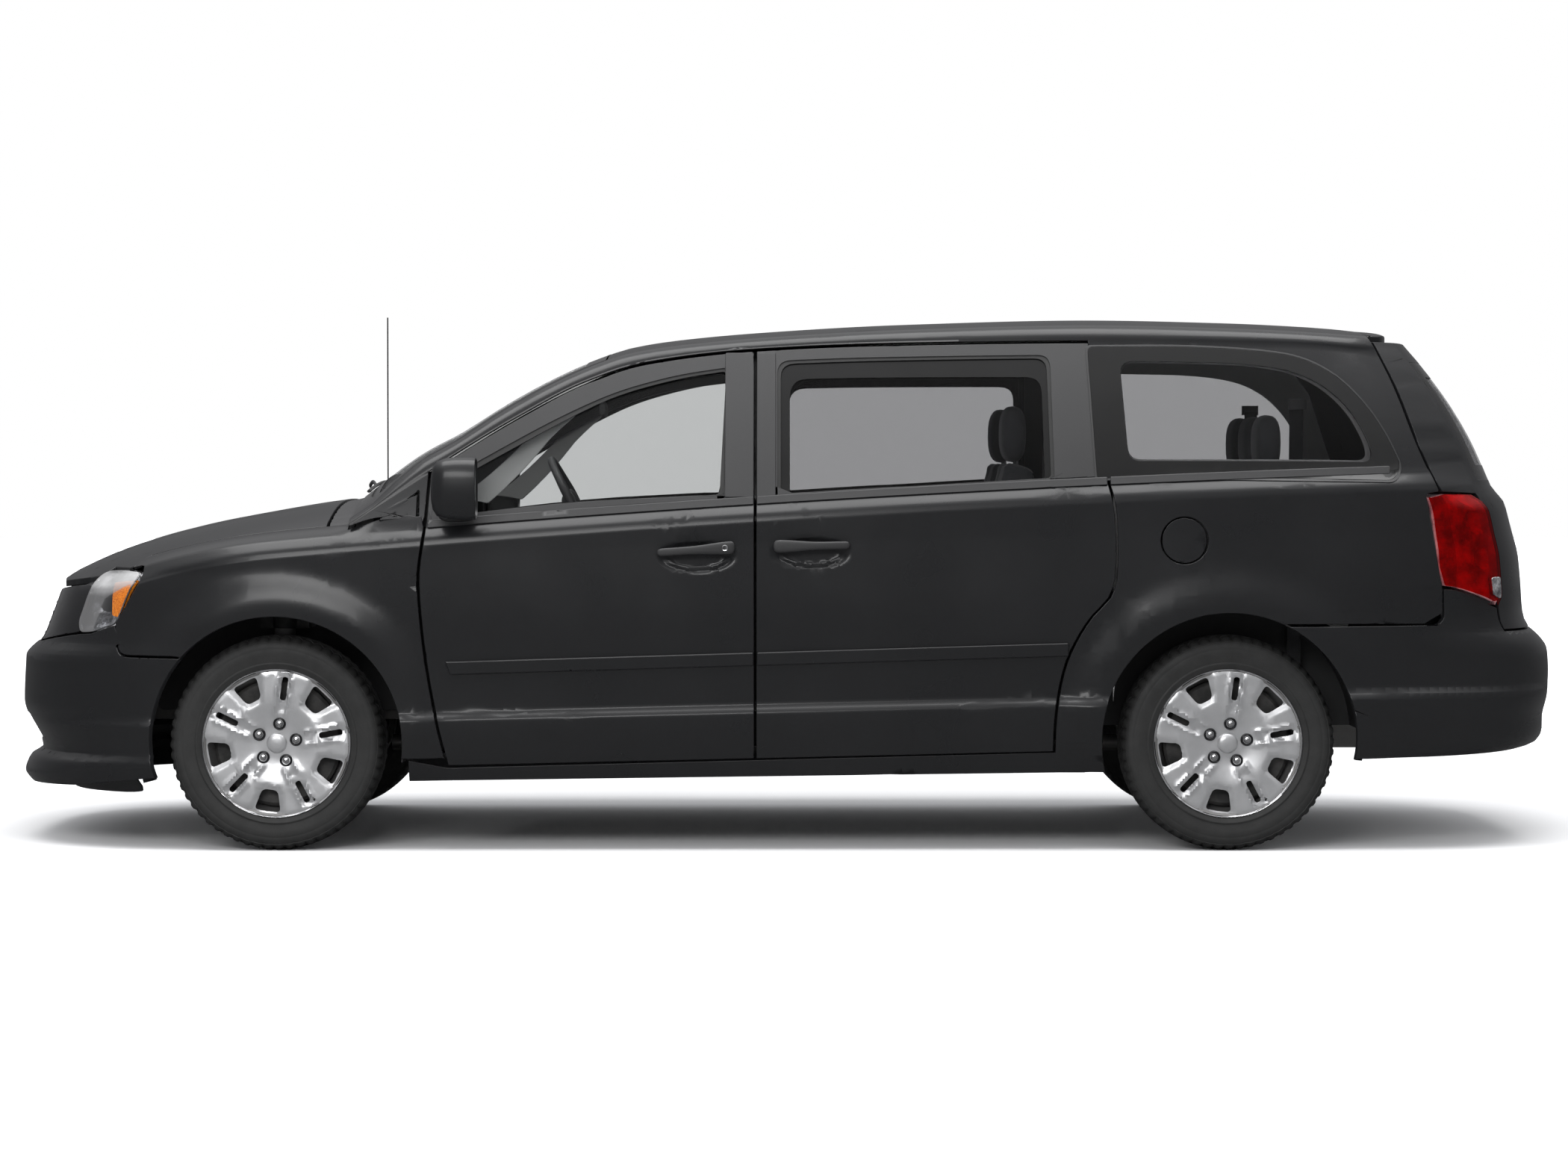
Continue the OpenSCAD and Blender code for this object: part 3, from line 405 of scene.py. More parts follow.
class Wire:
    """A node's output, with the operators that the finishes use."""

    def __init__(self, tree, socket):
        self.tree, self.socket = tree, socket

    def node(self, kind, settings=None, **sockets):
        """Adds a node, with its settings first and then its sockets. Underscores stand for spaces."""
        made = self.tree.nodes.new(kind)
        for key, value in (settings or {}).items():
            setattr(made, key, value)
        for key, value in sockets.items():
            target = made.inputs[int(key[1:])] if key[1:].isdigit() else made.inputs[key.replace("_", " ")]
            if isinstance(value, Wire):
                self.tree.links.new(value.socket, target)
            else:
                target.default_value = value
        return made

    def maths(self, operation, *values):
        sockets = {f"s{i}": value for i, value in enumerate(values)}
        return Wire(self.tree, self.node("ShaderNodeMath", {"operation": operation}, **sockets).outputs[0])

    def __add__(self, other):
        return self.maths("ADD", self, other)

    def __sub__(self, other):
        return self.maths("SUBTRACT", self, other)

    def __rsub__(self, other):
        return self.maths("SUBTRACT", other, self)

    def __mul__(self, other):
        return self.maths("MULTIPLY", self, other)

    def __gt__(self, other):
        return self.maths("GREATER_THAN", self, other)

    def ramp(self, low, high):
        """0 to 1, smoothly, as the value goes from low to high."""
        settings = {"interpolation_type": "SMOOTHSTEP"}
        made = self.node("ShaderNodeMapRange", settings, Value=self, From_Min=low, From_Max=high)
        return Wire(self.tree, made.outputs[0])

    def mix(self, low, high):
        """From the colour low to the colour high, by this value."""
        made = self.node("ShaderNodeMix", {"data_type": "RGBA"}, s0=self)
        for index, colour in ((6, low), (7, high)):
            if isinstance(colour, Wire):
                self.tree.links.new(colour.socket, made.inputs[index])
            else:
                made.inputs[index].default_value = (*colour, 1)
        return Wire(self.tree, made.outputs[2])

    def noise(self, scale, detail=2.0, roughness=0.5):
        """Noise at this place, with features of about 1 / scale metres."""
        made = self.node(
            "ShaderNodeTexNoise", {}, Vector=self, Scale=scale, Detail=detail, Roughness=roughness)
        return Wire(self.tree, made.outputs[0])

    def cells(self, scale, feature="F1"):
        made = self.node("ShaderNodeTexVoronoi", {"feature": feature}, Vector=self, Scale=scale)
        return Wire(self.tree, made.outputs[0])

    def axis(self, index):
        return Wire(self.tree, self.node("ShaderNodeSeparateXYZ", {}, Vector=self).outputs[index])

    def bump(self, distance, strength=1.0):
        made = self.node("ShaderNodeBump", {}, Height=self, Distance=distance, Strength=strength)
        return Wire(self.tree, made.outputs[0])


# %% One function makes each material


def finish(name, pattern=None, **constants):
    """A material with a Principled shader. Constants go on its sockets. The pattern takes the place
    on the surface and gives the sockets that change over it."""
    material = bpy.data.materials.new(name)
    material.use_nodes = True
    tree = material.node_tree
    shader = tree.nodes["Principled BSDF"]
    for key, value in constants.items():
        held = (*value, 1) if isinstance(value, tuple) else value
        shader.inputs[key.replace("_", " ")].default_value = held
    if pattern:
        place = Wire(tree, tree.nodes.new("ShaderNodeTexCoord").outputs["Object"])
        for key, wire in pattern(place).items():
            tree.links.new(wire.socket, shader.inputs[key.replace("_", " ")])
    return material


# %% [markdown]
# ### Paint
# Black car paint is a nearly black coat with fine bright flake, under clear lacquer with a slight
# orange peel. The flake is noise far finer than the peel, and only lifts the colour a little.

# %% Paint and bright parts


def paint_pattern(place):
    flake = place.cells(900).ramp(0.15, 0.6)
    dust = place.noise(3.0, 3.0)
    peel = place.noise(260, 1.0)
    return {
        "Base_Color": (flake * 0.6 + dust * 0.4).mix((0.0045, 0.0046, 0.005), (0.011, 0.0112, 0.012)),
        "Roughness": dust.ramp(0.3, 0.8) * 0.06 + 0.27,
        "Normal": peel.bump(0.00004, 0.35),
    }


PAINT = finish("paint", paint_pattern, Metallic=0.0, IOR=1.34, Coat_Weight=0.07, Coat_Roughness=0.08)


def grain_pattern(dark, light, scale, depth, low=0.45, high=0.65):
    """Moulded plastic: fine leather-like cells, a little shinier on their tops."""
    def pattern(place):
        grain = place.cells(scale)
        patch = place.noise(6, 3)
        return {
            "Base_Color": (grain * 0.6 + patch * 0.5).mix(dark, light),
            "Roughness": patch * (high - low) + low,
            "Normal": grain.bump(depth, 0.6),
        }
    return pattern


TRIM = finish("black trim", grain_pattern((0.006, 0.006, 0.0065), (0.016, 0.016, 0.017), 700, 0.0002))
GLOSS_BLACK = finish(
    "gloss black", lambda place: {
        "Base_Color": place.noise(4, 3).mix((0.004, 0.004, 0.0045), (0.009, 0.009, 0.01)),
        "Roughness": place.noise(9, 4).ramp(0.2, 0.9) * 0.1 + 0.12,
    }, IOR=1.4)
RUBBER = finish("seal rubber",
                grain_pattern((0.004, 0.004, 0.004), (0.010, 0.010, 0.010), 500, 0.0002, 0.6, 0.8))
UNDERBODY = finish(
    "underbody", lambda place: {
        "Base_Color": place.noise(14, 5, 0.6).ramp(0.35, 0.7).mix(
            (0.010, 0.010, 0.010), (0.035, 0.033, 0.031)),
        "Roughness": place.noise(30, 4) * 0.3 + 0.55,
        "Normal": place.noise(120, 4, 0.7).bump(0.0006, 0.6),
    })


def metal_pattern(dark, light, scale=240, low=0.25, high=0.45):
    def pattern(place):
        patch = place.noise(12, 4, 0.6)
        fleck = place.cells(scale * 6)
        return {
            "Base_Color": (patch * 0.7 + fleck * 0.3).mix(dark, light),
            "Roughness": patch * (high - low) + low,
            "Normal": place.noise(scale, 2).bump(0.00008, 0.4),
        }
    return pattern


SILVER = finish("wheel silver", metal_pattern((0.36, 0.365, 0.37), (0.62, 0.62, 0.63), 300, 0.28, 0.42),
                Metallic=0.75)
CHROME = finish("bright metal", metal_pattern((0.6, 0.6, 0.61), (0.75, 0.75, 0.76), 100, 0.06, 0.14),
                Metallic=1.0)
CAST = finish("cast metal", metal_pattern((0.10, 0.10, 0.10), (0.22, 0.215, 0.21), 90, 0.45, 0.7),
              Metallic=0.6)
STEEL = finish("brake steel", metal_pattern((0.20, 0.20, 0.20), (0.42, 0.41, 0.40), 150, 0.3, 0.5),
               Metallic=0.9)

# %% [markdown]
# ### Glass
# A car window is flat enough that bending light doesn't show, and thin glass that bends light would
# also shut the lamps out of the cabin. So each pane lets light straight through, tinted, and mirrors
# its surroundings more at a slant, as a Fresnel factor does.

# %% Window glass


def pane(name, tint, gloss):
    """See-through glass of a tint, whose two faces together pass the square of it."""
    material = bpy.data.materials.new(name)
    material.use_nodes = True
    tree = material.node_tree
    tree.nodes.remove(tree.nodes["Principled BSDF"])
    place = Wire(tree, tree.nodes.new("ShaderNodeTexCoord").outputs["Object"])
    clear = place.node("ShaderNodeBsdfTransparent", {}, Color=(*tint, 1))
    mirror = place.node("ShaderNodeBsdfGlossy", {}, Color=(0.9, 0.9, 0.9, 1), Roughness=0.02)
    slant = Wire(tree, place.node("ShaderNodeFresnel", {}, IOR=1.35).outputs[0])
    smear = place.noise(2.5, 4).ramp(0.2, 0.9) * 0.15 + 0.85
    both = place.node("ShaderNodeMixShader", {}, s0=slant * smear * gloss)
    tree.links.new(clear.outputs[0], both.inputs[1])
    tree.links.new(mirror.outputs[0], both.inputs[2])
    tree.links.new(both.outputs[0], tree.nodes["Material Output"].inputs[0])
    return material


CLEAR_GLASS = pane("clear glass", (0.84, 0.845, 0.845), 0.45)
TINTED_GLASS = pane("tinted glass", (0.72, 0.72, 0.725), 0.40)
LENS = pane("clear lens", (0.93, 0.935, 0.94), 0.9)
DARK_BORDER = finish(
    "glass border", lambda place: {
        "Base_Color": place.noise(5, 2).mix((0.004, 0.004, 0.004), (0.008, 0.008, 0.008)),
        "Roughness": place.noise(9, 3) * 0.08 + 0.10,
    }, IOR=1.4)
print(len(bpy.data.materials), "finishes so far")

# %% [markdown]
# ## Panels of the body
# Each panel is a blank in the coordinates that suit it. The sides use the distance along the van and
# a height that follows the creases, so that grid lines run along each crease and keep it crisp.

# %% Heights that follow the creases
GLASS_SPAN = 600
RAIL_SPAN = 100
TOP_LEVEL = BELT + GLASS_SPAN + RAIL_SPAN


def marks(x):
    """Heights and levels of the lines that the grid follows: low crease, shoulder, belt, door top, roof."""
    return [
        (620 + LOWER_SLOPE * x, 620), (belt(x) - CREASE_DROP, BELT - CREASE_DROP), (belt(x), BELT),
        (max(door_top(x), belt(x) + 5), BELT + GLASS_SPAN), (max(edge_z(x), belt(x) + 10), TOP_LEVEL)]


def level(x, z):
    """A height that stays the same all along a crease."""
    points = marks(x)
    return z - LOWER_SLOPE * x if z < points[0][0] else line(z, points)


def height(x, w):
    """Height on the van of a level."""
    return w + LOWER_SLOPE * x if w < 620 else line(w, [(w0, z0) for z0, w0 in marks(x)])


SIDE_ROWS = sorted(
    [190, 215, 240, 265, 290, 310, 330, 350, 380, 410, 432, 444, 450, 456, 465, 474, 480, 490, 505, 525]
    + steps(545, 1065, 26) + [1070, 1076, 1081, 1086, 1091, 1098, 1105, 1112, 1119, 1126, 1132, 1138, 1146]
    + steps(1165, 1726, 24) + steps(1738, 1814, 7) + [1818, 1822])


RAIL_WIDTH = 62


def on_side(x, w, depth):
    """Place on the left side of the van. Above the doors it turns over to meet the roof."""
    z = height(x, w)
    t = clamp((w - BELT - GLASS_SPAN) / RAIL_SPAN)
    turn = RAIL_WIDTH * (1 - math.sqrt(1 - t * t))
    half = side(x, min(z, door_top(x))) if t else side(x, z)
    return Vector((x, depth * (1 - t) + turn - half, z - depth * t))


def mirrored(bm):
    """The same mesh for the right side."""
    bmesh.ops.transform(bm, matrix=Matrix.Diagonal((1, -1, 1, 1)), verts=bm.verts[:])
    return bm


LEFT_RIGHT = (("left", 1), ("right", -1))


def attach(piece, body, slot, *nodes):
    """The piece rides on the body and stands for the nodes. The slot is not used."""
    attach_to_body(piece, body)
    if nodes:
        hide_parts(*nodes)
    return piece


def side_panels(name, body, slot, material, outline, holes=(), depths=(0, 20), cell=38, nodes=(), bevel=2.5,
                surface=on_side, finer=((), ()), low_rows=SIDE_ROWS, left_holes=()):
    """A left and a right panel on the body side. {} in a body's or node's name is the hand."""
    def levelled(points):
        return [(x, level(x, z)) for x, z in points]

    shape = levelled(outline)
    low, high = min(x for x, w in shape), max(x for x, w in shape)
    rows = [w for w in low_rows if min(w for x, w in shape) < w < max(w for x, w in shape)]
    columns = steps(low, high, max(2, round((high - low) / cell)))[1:-1]

    def pressed(cut_out):
        cut_out = [levelled(hole) for hole in cut_out]
        return press(blank(shape, cut_out, [*columns, *finer[0]], [*rows, *finer[1]]), surface, *depths)

    left = pressed([*holes, *left_holes])
    right = mirrored(pressed(holes) if left_holes else left.copy())
    pieces = []
    for hand, bm in (("left", left), ("right", right)):
        piece = finish_mesh(bm, f"{name}_{hand}", material, bevel)
        attach(piece, body.format(hand), slot, *[node.format(hand) for node in nodes])
        pieces.append(piece)
    return pieces

# %% [markdown]
# ### Doors
# A door is one skin from the sill to the roof rail with its window pressed out, so its outline is a
# chain of measured edges. The same outline, set in, makes the inner trim. The handle sits over a
# scoop, which is a dimple in the skin's depth with a finer grid under it.

# %% Edges of the doors


def door_edge(z):
    """Front edge of the front door."""
    return X_DOOR + curve(
        z, [(200, 93), (294, 69), (449, 33), (611, 5), (738, -10), (879, -19), (1043, 0), (1240, 14)])


def slide_edge(z):
    """Rear edge of the sliding door."""
    return RA + curve(z, [
        (200, -566), (343, -564), (415, -562), (513, -549), (601, -529), (680, -495), (758, -446),
        (827, -385), (886, -367), (984, -364), (1092, -369), (1175, -385), (up(0.17), -397), (up(0.55), -421),
        (up(0.8), -437), (up(1), -440)])


def front_door_outline(inset=0):
    reach = GAP + inset
    front = [(door_edge(z) + reach, z) for z in steps(sill_top(X_DOOR + 90) + reach, up(0.15) - inset, 24)]
    top = [(x + 0.4 * reach, door_top(x) - reach) for x in steps(FA + 500, X_PILLAR - 60, 20)]
    rear = X_PILLAR - reach
    return front + top + [(rear - 5, door_top(X_PILLAR) - reach), (rear, up(0.05)),
                          (rear, sill_top(X_PILLAR) + reach)]


def slide_door_outline(inset=0):
    reach = GAP + inset
    top = [(x, door_top(x) - reach) for x in steps(X_PILLAR + reach, RA - 441 - reach, 16)]
    rear = [(slide_edge(z) - reach, z) for z in steps(up(0.6), sill_top(RA - 560) + reach, 40)]
    return [(X_PILLAR + reach, sill_top(X_PILLAR) + reach)] + top + rear


def front_window(inset=0):
    return rounded([
        (X_DOOR + 66 + inset, belt(X_DOOR) + 20 + inset, 10), (X_DOOR + 72 + inset, up(0.13) - inset, 10),
        (FA + 640 + inset, up(0.21) - inset, 60), (FA + 893 + inset, up(0.44) - inset, 120),
        (FA + 1094, up(0.59) - inset, 90), (FA + 1295, up(0.68) - inset, 90),
        (X_PILLAR - 80 - inset, up(0.72) - inset, 16),
        (X_PILLAR - 100 - inset, belt(X_PILLAR) + 18 + inset, 12)])


def slide_window(inset=0):
    return rounded([
        (X_PILLAR + 70 + inset, belt(X_PILLAR) + 18 + inset, 14),
        (X_PILLAR + 70 + inset, up(0.755) - inset, 45), (RA - 570 - inset, up(0.785) - inset, 40),
        (RA - 562 - inset, belt(RA - 560) + 18 + inset, 14)])


# %% Scoops behind the handles
SCOOP_DEEP = 24
SCOOPS = {"front": (-281, 953), "slide": (89, 965)}
SCOOP_SIZE = (129, 52)


def scoop(place):
    """Depth of the door skin round a handle."""
    cx, cz = SCOOPS[place]

    def depth(x, w):
        r = math.hypot((x - cx) / SCOOP_SIZE[0], (height(x, w) - cz) / SCOOP_SIZE[1])
        return SCOOP_DEEP * smooth((1.0 - r) / 0.35)
    return depth


def scoop_grid(place):
    cx, cz = SCOOPS[place]
    middle = level(cx, cz)
    return steps(cx - 134, cx + 134, 34), steps(middle - 56, middle + 56, 16)


def door_depth(x, w):
    """Thickness of a door, thinner round its window."""
    return 56 - 32 * smooth((w - BELT + 30) / 40)


# %% Press the doors
side_panels("front_door_skin", "front_door_{}", "paint", PAINT, front_door_outline(), [front_window()],
            (scoop("front"), door_depth), nodes=["front_door_{}"], finer=scoop_grid("front"))
side_panels("sliding_door_skin", "root", "paint", PAINT, slide_door_outline(), [slide_window()],
            (scoop("slide"), door_depth), nodes=["sliding_doors"], finer=scoop_grid("slide"))
print("doors from", round(door_edge(600)), "to", round(slide_edge(984)))

# %% [markdown]
# ### Body sides
# Roof rail, rear quarter and sill are one pressing round the doors, as on the real van. Its outline
# runs up the windshield pillar, over the doors, down behind the sliding door, forward along the sill
# and back under it, round the rear arch, and up the tail lamp to the roof.

# %% Press the body sides
ARCH_START = math.degrees(math.asin((735 - WHEEL_Z - ARCH_LIFT) / ARCH_R))
ARCH_END = 180 + math.degrees(math.asin((WHEEL_Z + ARCH_LIFT - 262) / ARCH_R))
QUARTER_GLASS = rounded([
    (1010, 1205, 12), (988, 1632, 20), (1309, 1634, 120), (1562, 1619, 120), (1690, 1596, 90),
    (1800, 1535, 90), (1890, 1440, 90), (1950, 1345, 60), (1994, 1245, 30), (1968, 1199, 25)])
QUARTER_CLEAR = rounded([
    (1112, 1262, 40), (1090, 1586, 45), (1480, 1580, 120), (1650, 1556, 120), (1760, 1500, 90),
    (1840, 1420, 80), (1892, 1320, 60), (1900, 1258, 35)])
FLAP_X, FLAP_Y, FLAP_Z = [(low + high) / 2 for low, high in zip(*span("fuel_flap"))]
FLAP_R = 72


def body_side_outline():
    pillar = [(FA + 238, belt(FA + 238) + 26), (X_DOOR - 8, belt(X_DOOR) + 18)]
    door_front = [(door_edge(z) - GAP, z) for z in steps(belt(X_DOOR) + 18, up(0.16), 8)][1:]
    over = [(x, door_top(x) + GAP) for x in steps(FA + 512, RA - 446, 50)]
    behind = [(slide_edge(z) + GAP, z) for z in steps(up(0.6), sill_top(RA - 560), 40)]
    sill = [(X_DOOR + 70, sill_top(X_DOOR + 70) - GAP), (FA + 432, 296), (FA + 432, sill_low(X_DOOR))]
    arch = arc(RA, WHEEL_Z + ARCH_LIFT, ARCH_R, ARCH_END, ARCH_START, 44)
    tail = rounded([
        (RA + 692, 738, 30), (RA + 690, 850), (RA + 678, 916), (RA + 636, 1155, 14), (RA + 682, 1162, 8),
        (RA + 614, 1310, 90), (RA + 552, 1500, 90), (RA + 492, 1632, 60), (RA + 470, 1668, 20)], 20)[:-6]
    top = [(x, edge_z(x)) for x in steps(ROOF_END, FA + 238, 70)]
    low = [(x, 736) for x in steps(RA + 190, RA + 630, 16)]
    return pillar + door_front + over + behind + sill + [(RA - 400, sill_low(RA))] + arch + low + tail + top


LIGHT = rounded([
    (X_DOOR - 152, belt(X_DOOR) + 26, 8), (X_DOOR - 20, belt(X_DOOR) + 26, 8), (X_DOOR - 20, up(0.07), 8)], 8)
side_panels("body_side", "root", "paint", PAINT, body_side_outline(),
            [QUARTER_CLEAR, LIGHT], (0, 18), nodes=["body_sides"],
            left_holes=[arc(FLAP_X, FLAP_Z, FLAP_R + 5, 0, 351, 39)])
print("arch from", round(ARCH_START), "to", round(ARCH_END), "degrees")

# %% [markdown]
# ### Fenders and hood
# Above the belt the fender turns over into a shoulder that meets the hood. The hood is drawn in plan:
# its front edge is bowed and it widens over the headlamps, ahead of the fenders.

# %% Shoulder of the fender
FENDER_FRONT = FA - 530
SHOULDER_SPAN = 120
HOOD_INSET = 118


def on_fender(x, w, depth):
    """Place on the fender. Levels above the belt run over the shoulder to the edge of the hood."""
    s = clamp((w - BELT) / SHOULDER_SPAN)
    if s == 0:
        return on_side(x, w, depth)
    y0 = side(x, belt(x))
    y1 = y0 - HOOD_INSET + 2 * GAP
    z = belt(x) + (top_z(x, y1) - belt(x)) * (1 - (1 - s) ** 2)
    return Vector((x, depth * (1 - s) - y0 + (y0 - y1) * s, z - depth * (0.3 + 0.7 * s)))


def fender_panel():
    arch = arc(FA, WHEEL_Z, ARCH_R, 180 - 42.8, -6.5, 40)
    seam = rounded([(FA - 318, 630, 1), (FA - 508, 632, 30), (FA - 524, 668, 20), (FA - 530, 735, 4),
                    (FA - 440, 893, 2)], 20)
    edge = [(door_edge(z) - GAP, z) for z in steps(300, belt(X_DOOR), 30)]
    low = [(x, level(x, z)) for x, z in [*seam, (FA - 438, belt(FA - 438))]]
    top = BELT + SHOULDER_SPAN
    upper = [(FA - 448, BELT + 9), (FA - 477, BELT + 10), (FA - 474, BELT + 17), (FA - 434, top),
             *[(x, top) for x in steps(FA - 400, FA + 140, 20)], (COWL_X, top), (COWL_X + 3, BELT + 30),
             (X_DOOR - 12, BELT + 12)]
    back = [(x, level(x, z)) for x, z in reversed(edge)]
    under = [(x, level(x, z)) for x, z in [(X_DOOR + 62, 302), (FA + 420, 302)]]
    round_arch = [(x, level(x, z)) for x, z in reversed(arch)]
    return low + upper + back + under + round_arch


fender = press(blank(fender_panel(), [], steps(FENDER_FRONT, X_DOOR + 70, 46),
                     [w for w in SIDE_ROWS if w < BELT] + steps(BELT, BELT + SHOULDER_SPAN, 10)),
               on_fender, 0, 16)
for hand, bm in (("right", mirrored(fender.copy())), ("left", fender)):
    attach(finish_mesh(bm, f"fender_{hand}", PAINT, 2.5), "root", "paint", "front_fenders")

# %% Hood
HOOD_FRONT = X_NOSE + 138
HOOD_REAR = FA + 154


def hood_half(x):
    """Half width of the hood, which stays above the headlamps in front."""
    half = side(x, belt(x)) - curve(x - FA, [(-480, 24), (-437, HOOD_INSET)])
    lamp_top = line(x - FA, [(-860, 850), (-604, 884), (-560, 913), (-430, 913)])
    if x > FA - 436:
        return half
    width, drop = side(x, belt(x)) - 40, max(1, top_line(x) - rim_line(x))
    return min(half, max(440, width * max(0, (top_line(x) - lamp_top) / drop) ** (1 / 2.6)))


def on_top(x, y, depth):
    return Vector((x, y, top_z(x, y) - depth))


def both_edges(xs, half):
    """Outline in plan, from a half width along the van."""
    return [(x, -half(x)) for x in xs] + [(x, half(x)) for x in reversed(xs)]


hood_xs = [*steps(HOOD_FRONT + 44, FA - 560, 8), *steps(FA - 540, FA - 430, 7),
           *steps(FA - 400, HOOD_REAR, 16)]
bow = [(HOOD_FRONT + 44 * s * s, s * hood_half(hood_xs[0])) for s in steps(1, -1, 20)][1:-1]
bm = blank(both_edges(hood_xs, hood_half) + bow, [], steps(HOOD_FRONT, HOOD_REAR, 36), steps(-880, 880, 64))


def hood_ribs(x, y):
    """Two soft creases that run back from the grille."""
    centre = 250 + 0.16 * (x - HOOD_FRONT)
    away = (abs(y) - centre) / 40
    return -5 * math.exp(-away * away) * smooth((x - HOOD_FRONT) / 200) * smooth((HOOD_REAR - x) / 150)


press(bm, on_top, hood_ribs, 22)
hood = attach(finish_mesh(bm, "hood_panel", PAINT, 3), "hood", "paint", "hood")
print("hood half widths", [round(hood_half(x)) for x in (hood_xs[0], FA - 600, FA - 400, HOOD_REAR)])

# %% [markdown]
# ### Roof and windshield
# Both are drawn in plan on the same upper surface, so they meet in one smooth line at the header.

# %% Press the roof, windshield and cowl
ROOF_RIBS = 5


def roof_ribs(x, y):
    """Shallow stiffening ribs pressed into the middle of the roof."""
    ends = smooth((x - HEADER_X - 160) / 120) * smooth((ROOF_END - 200 - x) / 120)
    wave = 0.5 - 0.5 * math.cos(2 * math.pi * clamp((y + 500) / 1000) * ROOF_RIBS)
    return 5 * ends * smooth(wave * 1.4) * (abs(y) < 500)


def roof_half(x):
    return edge_y(x) - 1


bm = blank(both_edges(steps(HEADER_X + 3, ROOF_END, 44), roof_half), [],
           steps(HEADER_X + 3, ROOF_END, 34)[1:-1], steps(-870, 870, 72))
press(bm, on_top, roof_ribs, 20)
attach(finish_mesh(bm, "roof", PAINT, 2), "root", "paint", "roof_panel")

GLASS_INSET = 70


def shield_half(x):
    return edge_y(x) - 2


def clear_half(x):
    return edge_y(x) - GLASS_INSET


shield_xs = steps(COWL_X + 8, HEADER_X - 2, 20)
clear_xs = steps(COWL_X + 90, HEADER_X - 70, 18)
clear_near = [(x, -clear_half(x), 1) for x in clear_xs]
clear_far = [(x, clear_half(x), 1) for x in reversed(clear_xs)]
clear_outline = rounded(clear_near + clear_far, 1, 1)
bm = blank(both_edges(shield_xs, shield_half), [], steps(COWL_X, HEADER_X, 22)[1:-1], steps(-860, 860, 34))
press(bm, on_top, 1, 6)
attach(finish_mesh(bm, "windshield_glass", CLEAR_GLASS), "root", "clear_glass", "windshield")
bm = blank(both_edges(shield_xs, shield_half), [clear_outline], steps(COWL_X, HEADER_X, 22)[1:-1],
           steps(-860, 860, 34))
press(bm, on_top, -0.6, 0.4)
attach(finish_mesh(bm, "windshield_border", DARK_BORDER), "root", "clear_glass")


def cowl_half(x):
    return side(x, belt(x)) - 112


bm = blank(both_edges(steps(FA + 160, COWL_X + 6, 4), cowl_half), [], steps(FA + 160, COWL_X + 6, 8)[1:-1],
           steps(-800, 800, 80))
press(bm, on_top, lambda x, y: 6 + 5 * (math.sin(y / 8) > 0), 40)
attach(finish_mesh(bm, "cowl", TRIM, 1), "root", "black_plastic", "cowl_panel")

# %% [markdown]
# ### Glass, seals and black trim of the doors
# The door frames above the belt wear black film, with a thicker strip on each side of the gap between
# the doors. Each window has a rubber seal just inside its hole, and the pane sits behind that.

# %% Panes and seals
GLASS_DEPTHS = (9, 15)
FEW_ROWS = [w for w in SIDE_ROWS if w > BELT][::2]
side_panels("front_door_pane", "front_door_{}", "clear_glass", CLEAR_GLASS, front_window(-6), (),
            GLASS_DEPTHS, 60, ["door_glass_{}"], 0, low_rows=FEW_ROWS)
side_panels("sliding_door_pane", "root", "tinted_glass", TINTED_GLASS, slide_window(-6), (), GLASS_DEPTHS,
            60, ["side_glass"], 0, low_rows=FEW_ROWS)
side_panels("quarter_pane", "root", "tinted_glass", TINTED_GLASS, QUARTER_GLASS, [], (-2.2, -0.4), 60, (), 0,
            low_rows=FEW_ROWS)
side_panels("quarter_border", "root", "tinted_glass", DARK_BORDER, QUARTER_GLASS, [QUARTER_CLEAR],
            (-3.2, -2.4), 40, (), 0.6, low_rows=FEW_ROWS)
side_panels("front_light_pane", "root", "clear_glass", CLEAR_GLASS, LIGHT, [], (3, 8), 60, (), 0,
            low_rows=FEW_ROWS)


def inset_quarter(by):
    """The outline of the quarter glass moved out by a width, from its middle."""
    cx, cz = 1490, 1430
    return [(cx + (x - cx) * (1 + by / 490), cz + (z - cz) * (1 + by / 215)) for x, z in QUARTER_GLASS]


side_panels("quarter_trim", "root", "black_plastic", TRIM, inset_quarter(7), [inset_quarter(0.5)], (-3.6, 1),
            40, (), 1, low_rows=FEW_ROWS)
side_panels("front_seal", "front_door_{}", "black_plastic", RUBBER, front_window(-2), [front_window(15)],
            (2, 22), 40, (), 2, low_rows=FEW_ROWS)
side_panels("sliding_seal", "root", "black_plastic", RUBBER, slide_window(-2), [slide_window(13)], (2, 22),
            40, (), 2, low_rows=FEW_ROWS)
side_panels("sliding_border", "root", "tinted_glass", DARK_BORDER, slide_window(10), [rounded([
    (X_PILLAR + 112, belt(X_PILLAR) + 30, 14), (X_PILLAR + 112, up(0.655), 60), (RA - 600, up(0.665), 50),
    (RA - 594, belt(RA - 560) + 30, 14)])], (8.4, 8.9), 60, (), 0, low_rows=FEW_ROWS)

# %% Black film on the door frames


def above_belt(outline, lift):
    """The part of an outline that lies above the belt."""
    inside = [(x, z) for x, z in outline if z > belt(x) + lift + 4]
    low = [min(x for x, z in inside), max(x for x, z in inside)]
    cut = [(x, belt(x) + lift) for x in low]
    return inside, cut


inside, (low, high) = above_belt(front_door_outline(1.5), 30)
side_panels("front_frame_film", "front_door_{}", "black_plastic", TRIM,
            [*inside, high, (X_DOOR + 22, low[1])], [front_window(1)], (-1.2, 1), 60, (), 0.6,
            low_rows=FEW_ROWS)
inside, (low, high) = above_belt(slide_door_outline(1.5), 30)
high = (slide_edge(high[1]) - GAP - 1.5, high[1])
side_panels("sliding_frame_film", "root", "black_plastic", TRIM, [*inside, high, low],
            [slide_window(1)], (-1.2, 1), 60, (), 0.6, low_rows=FEW_ROWS)

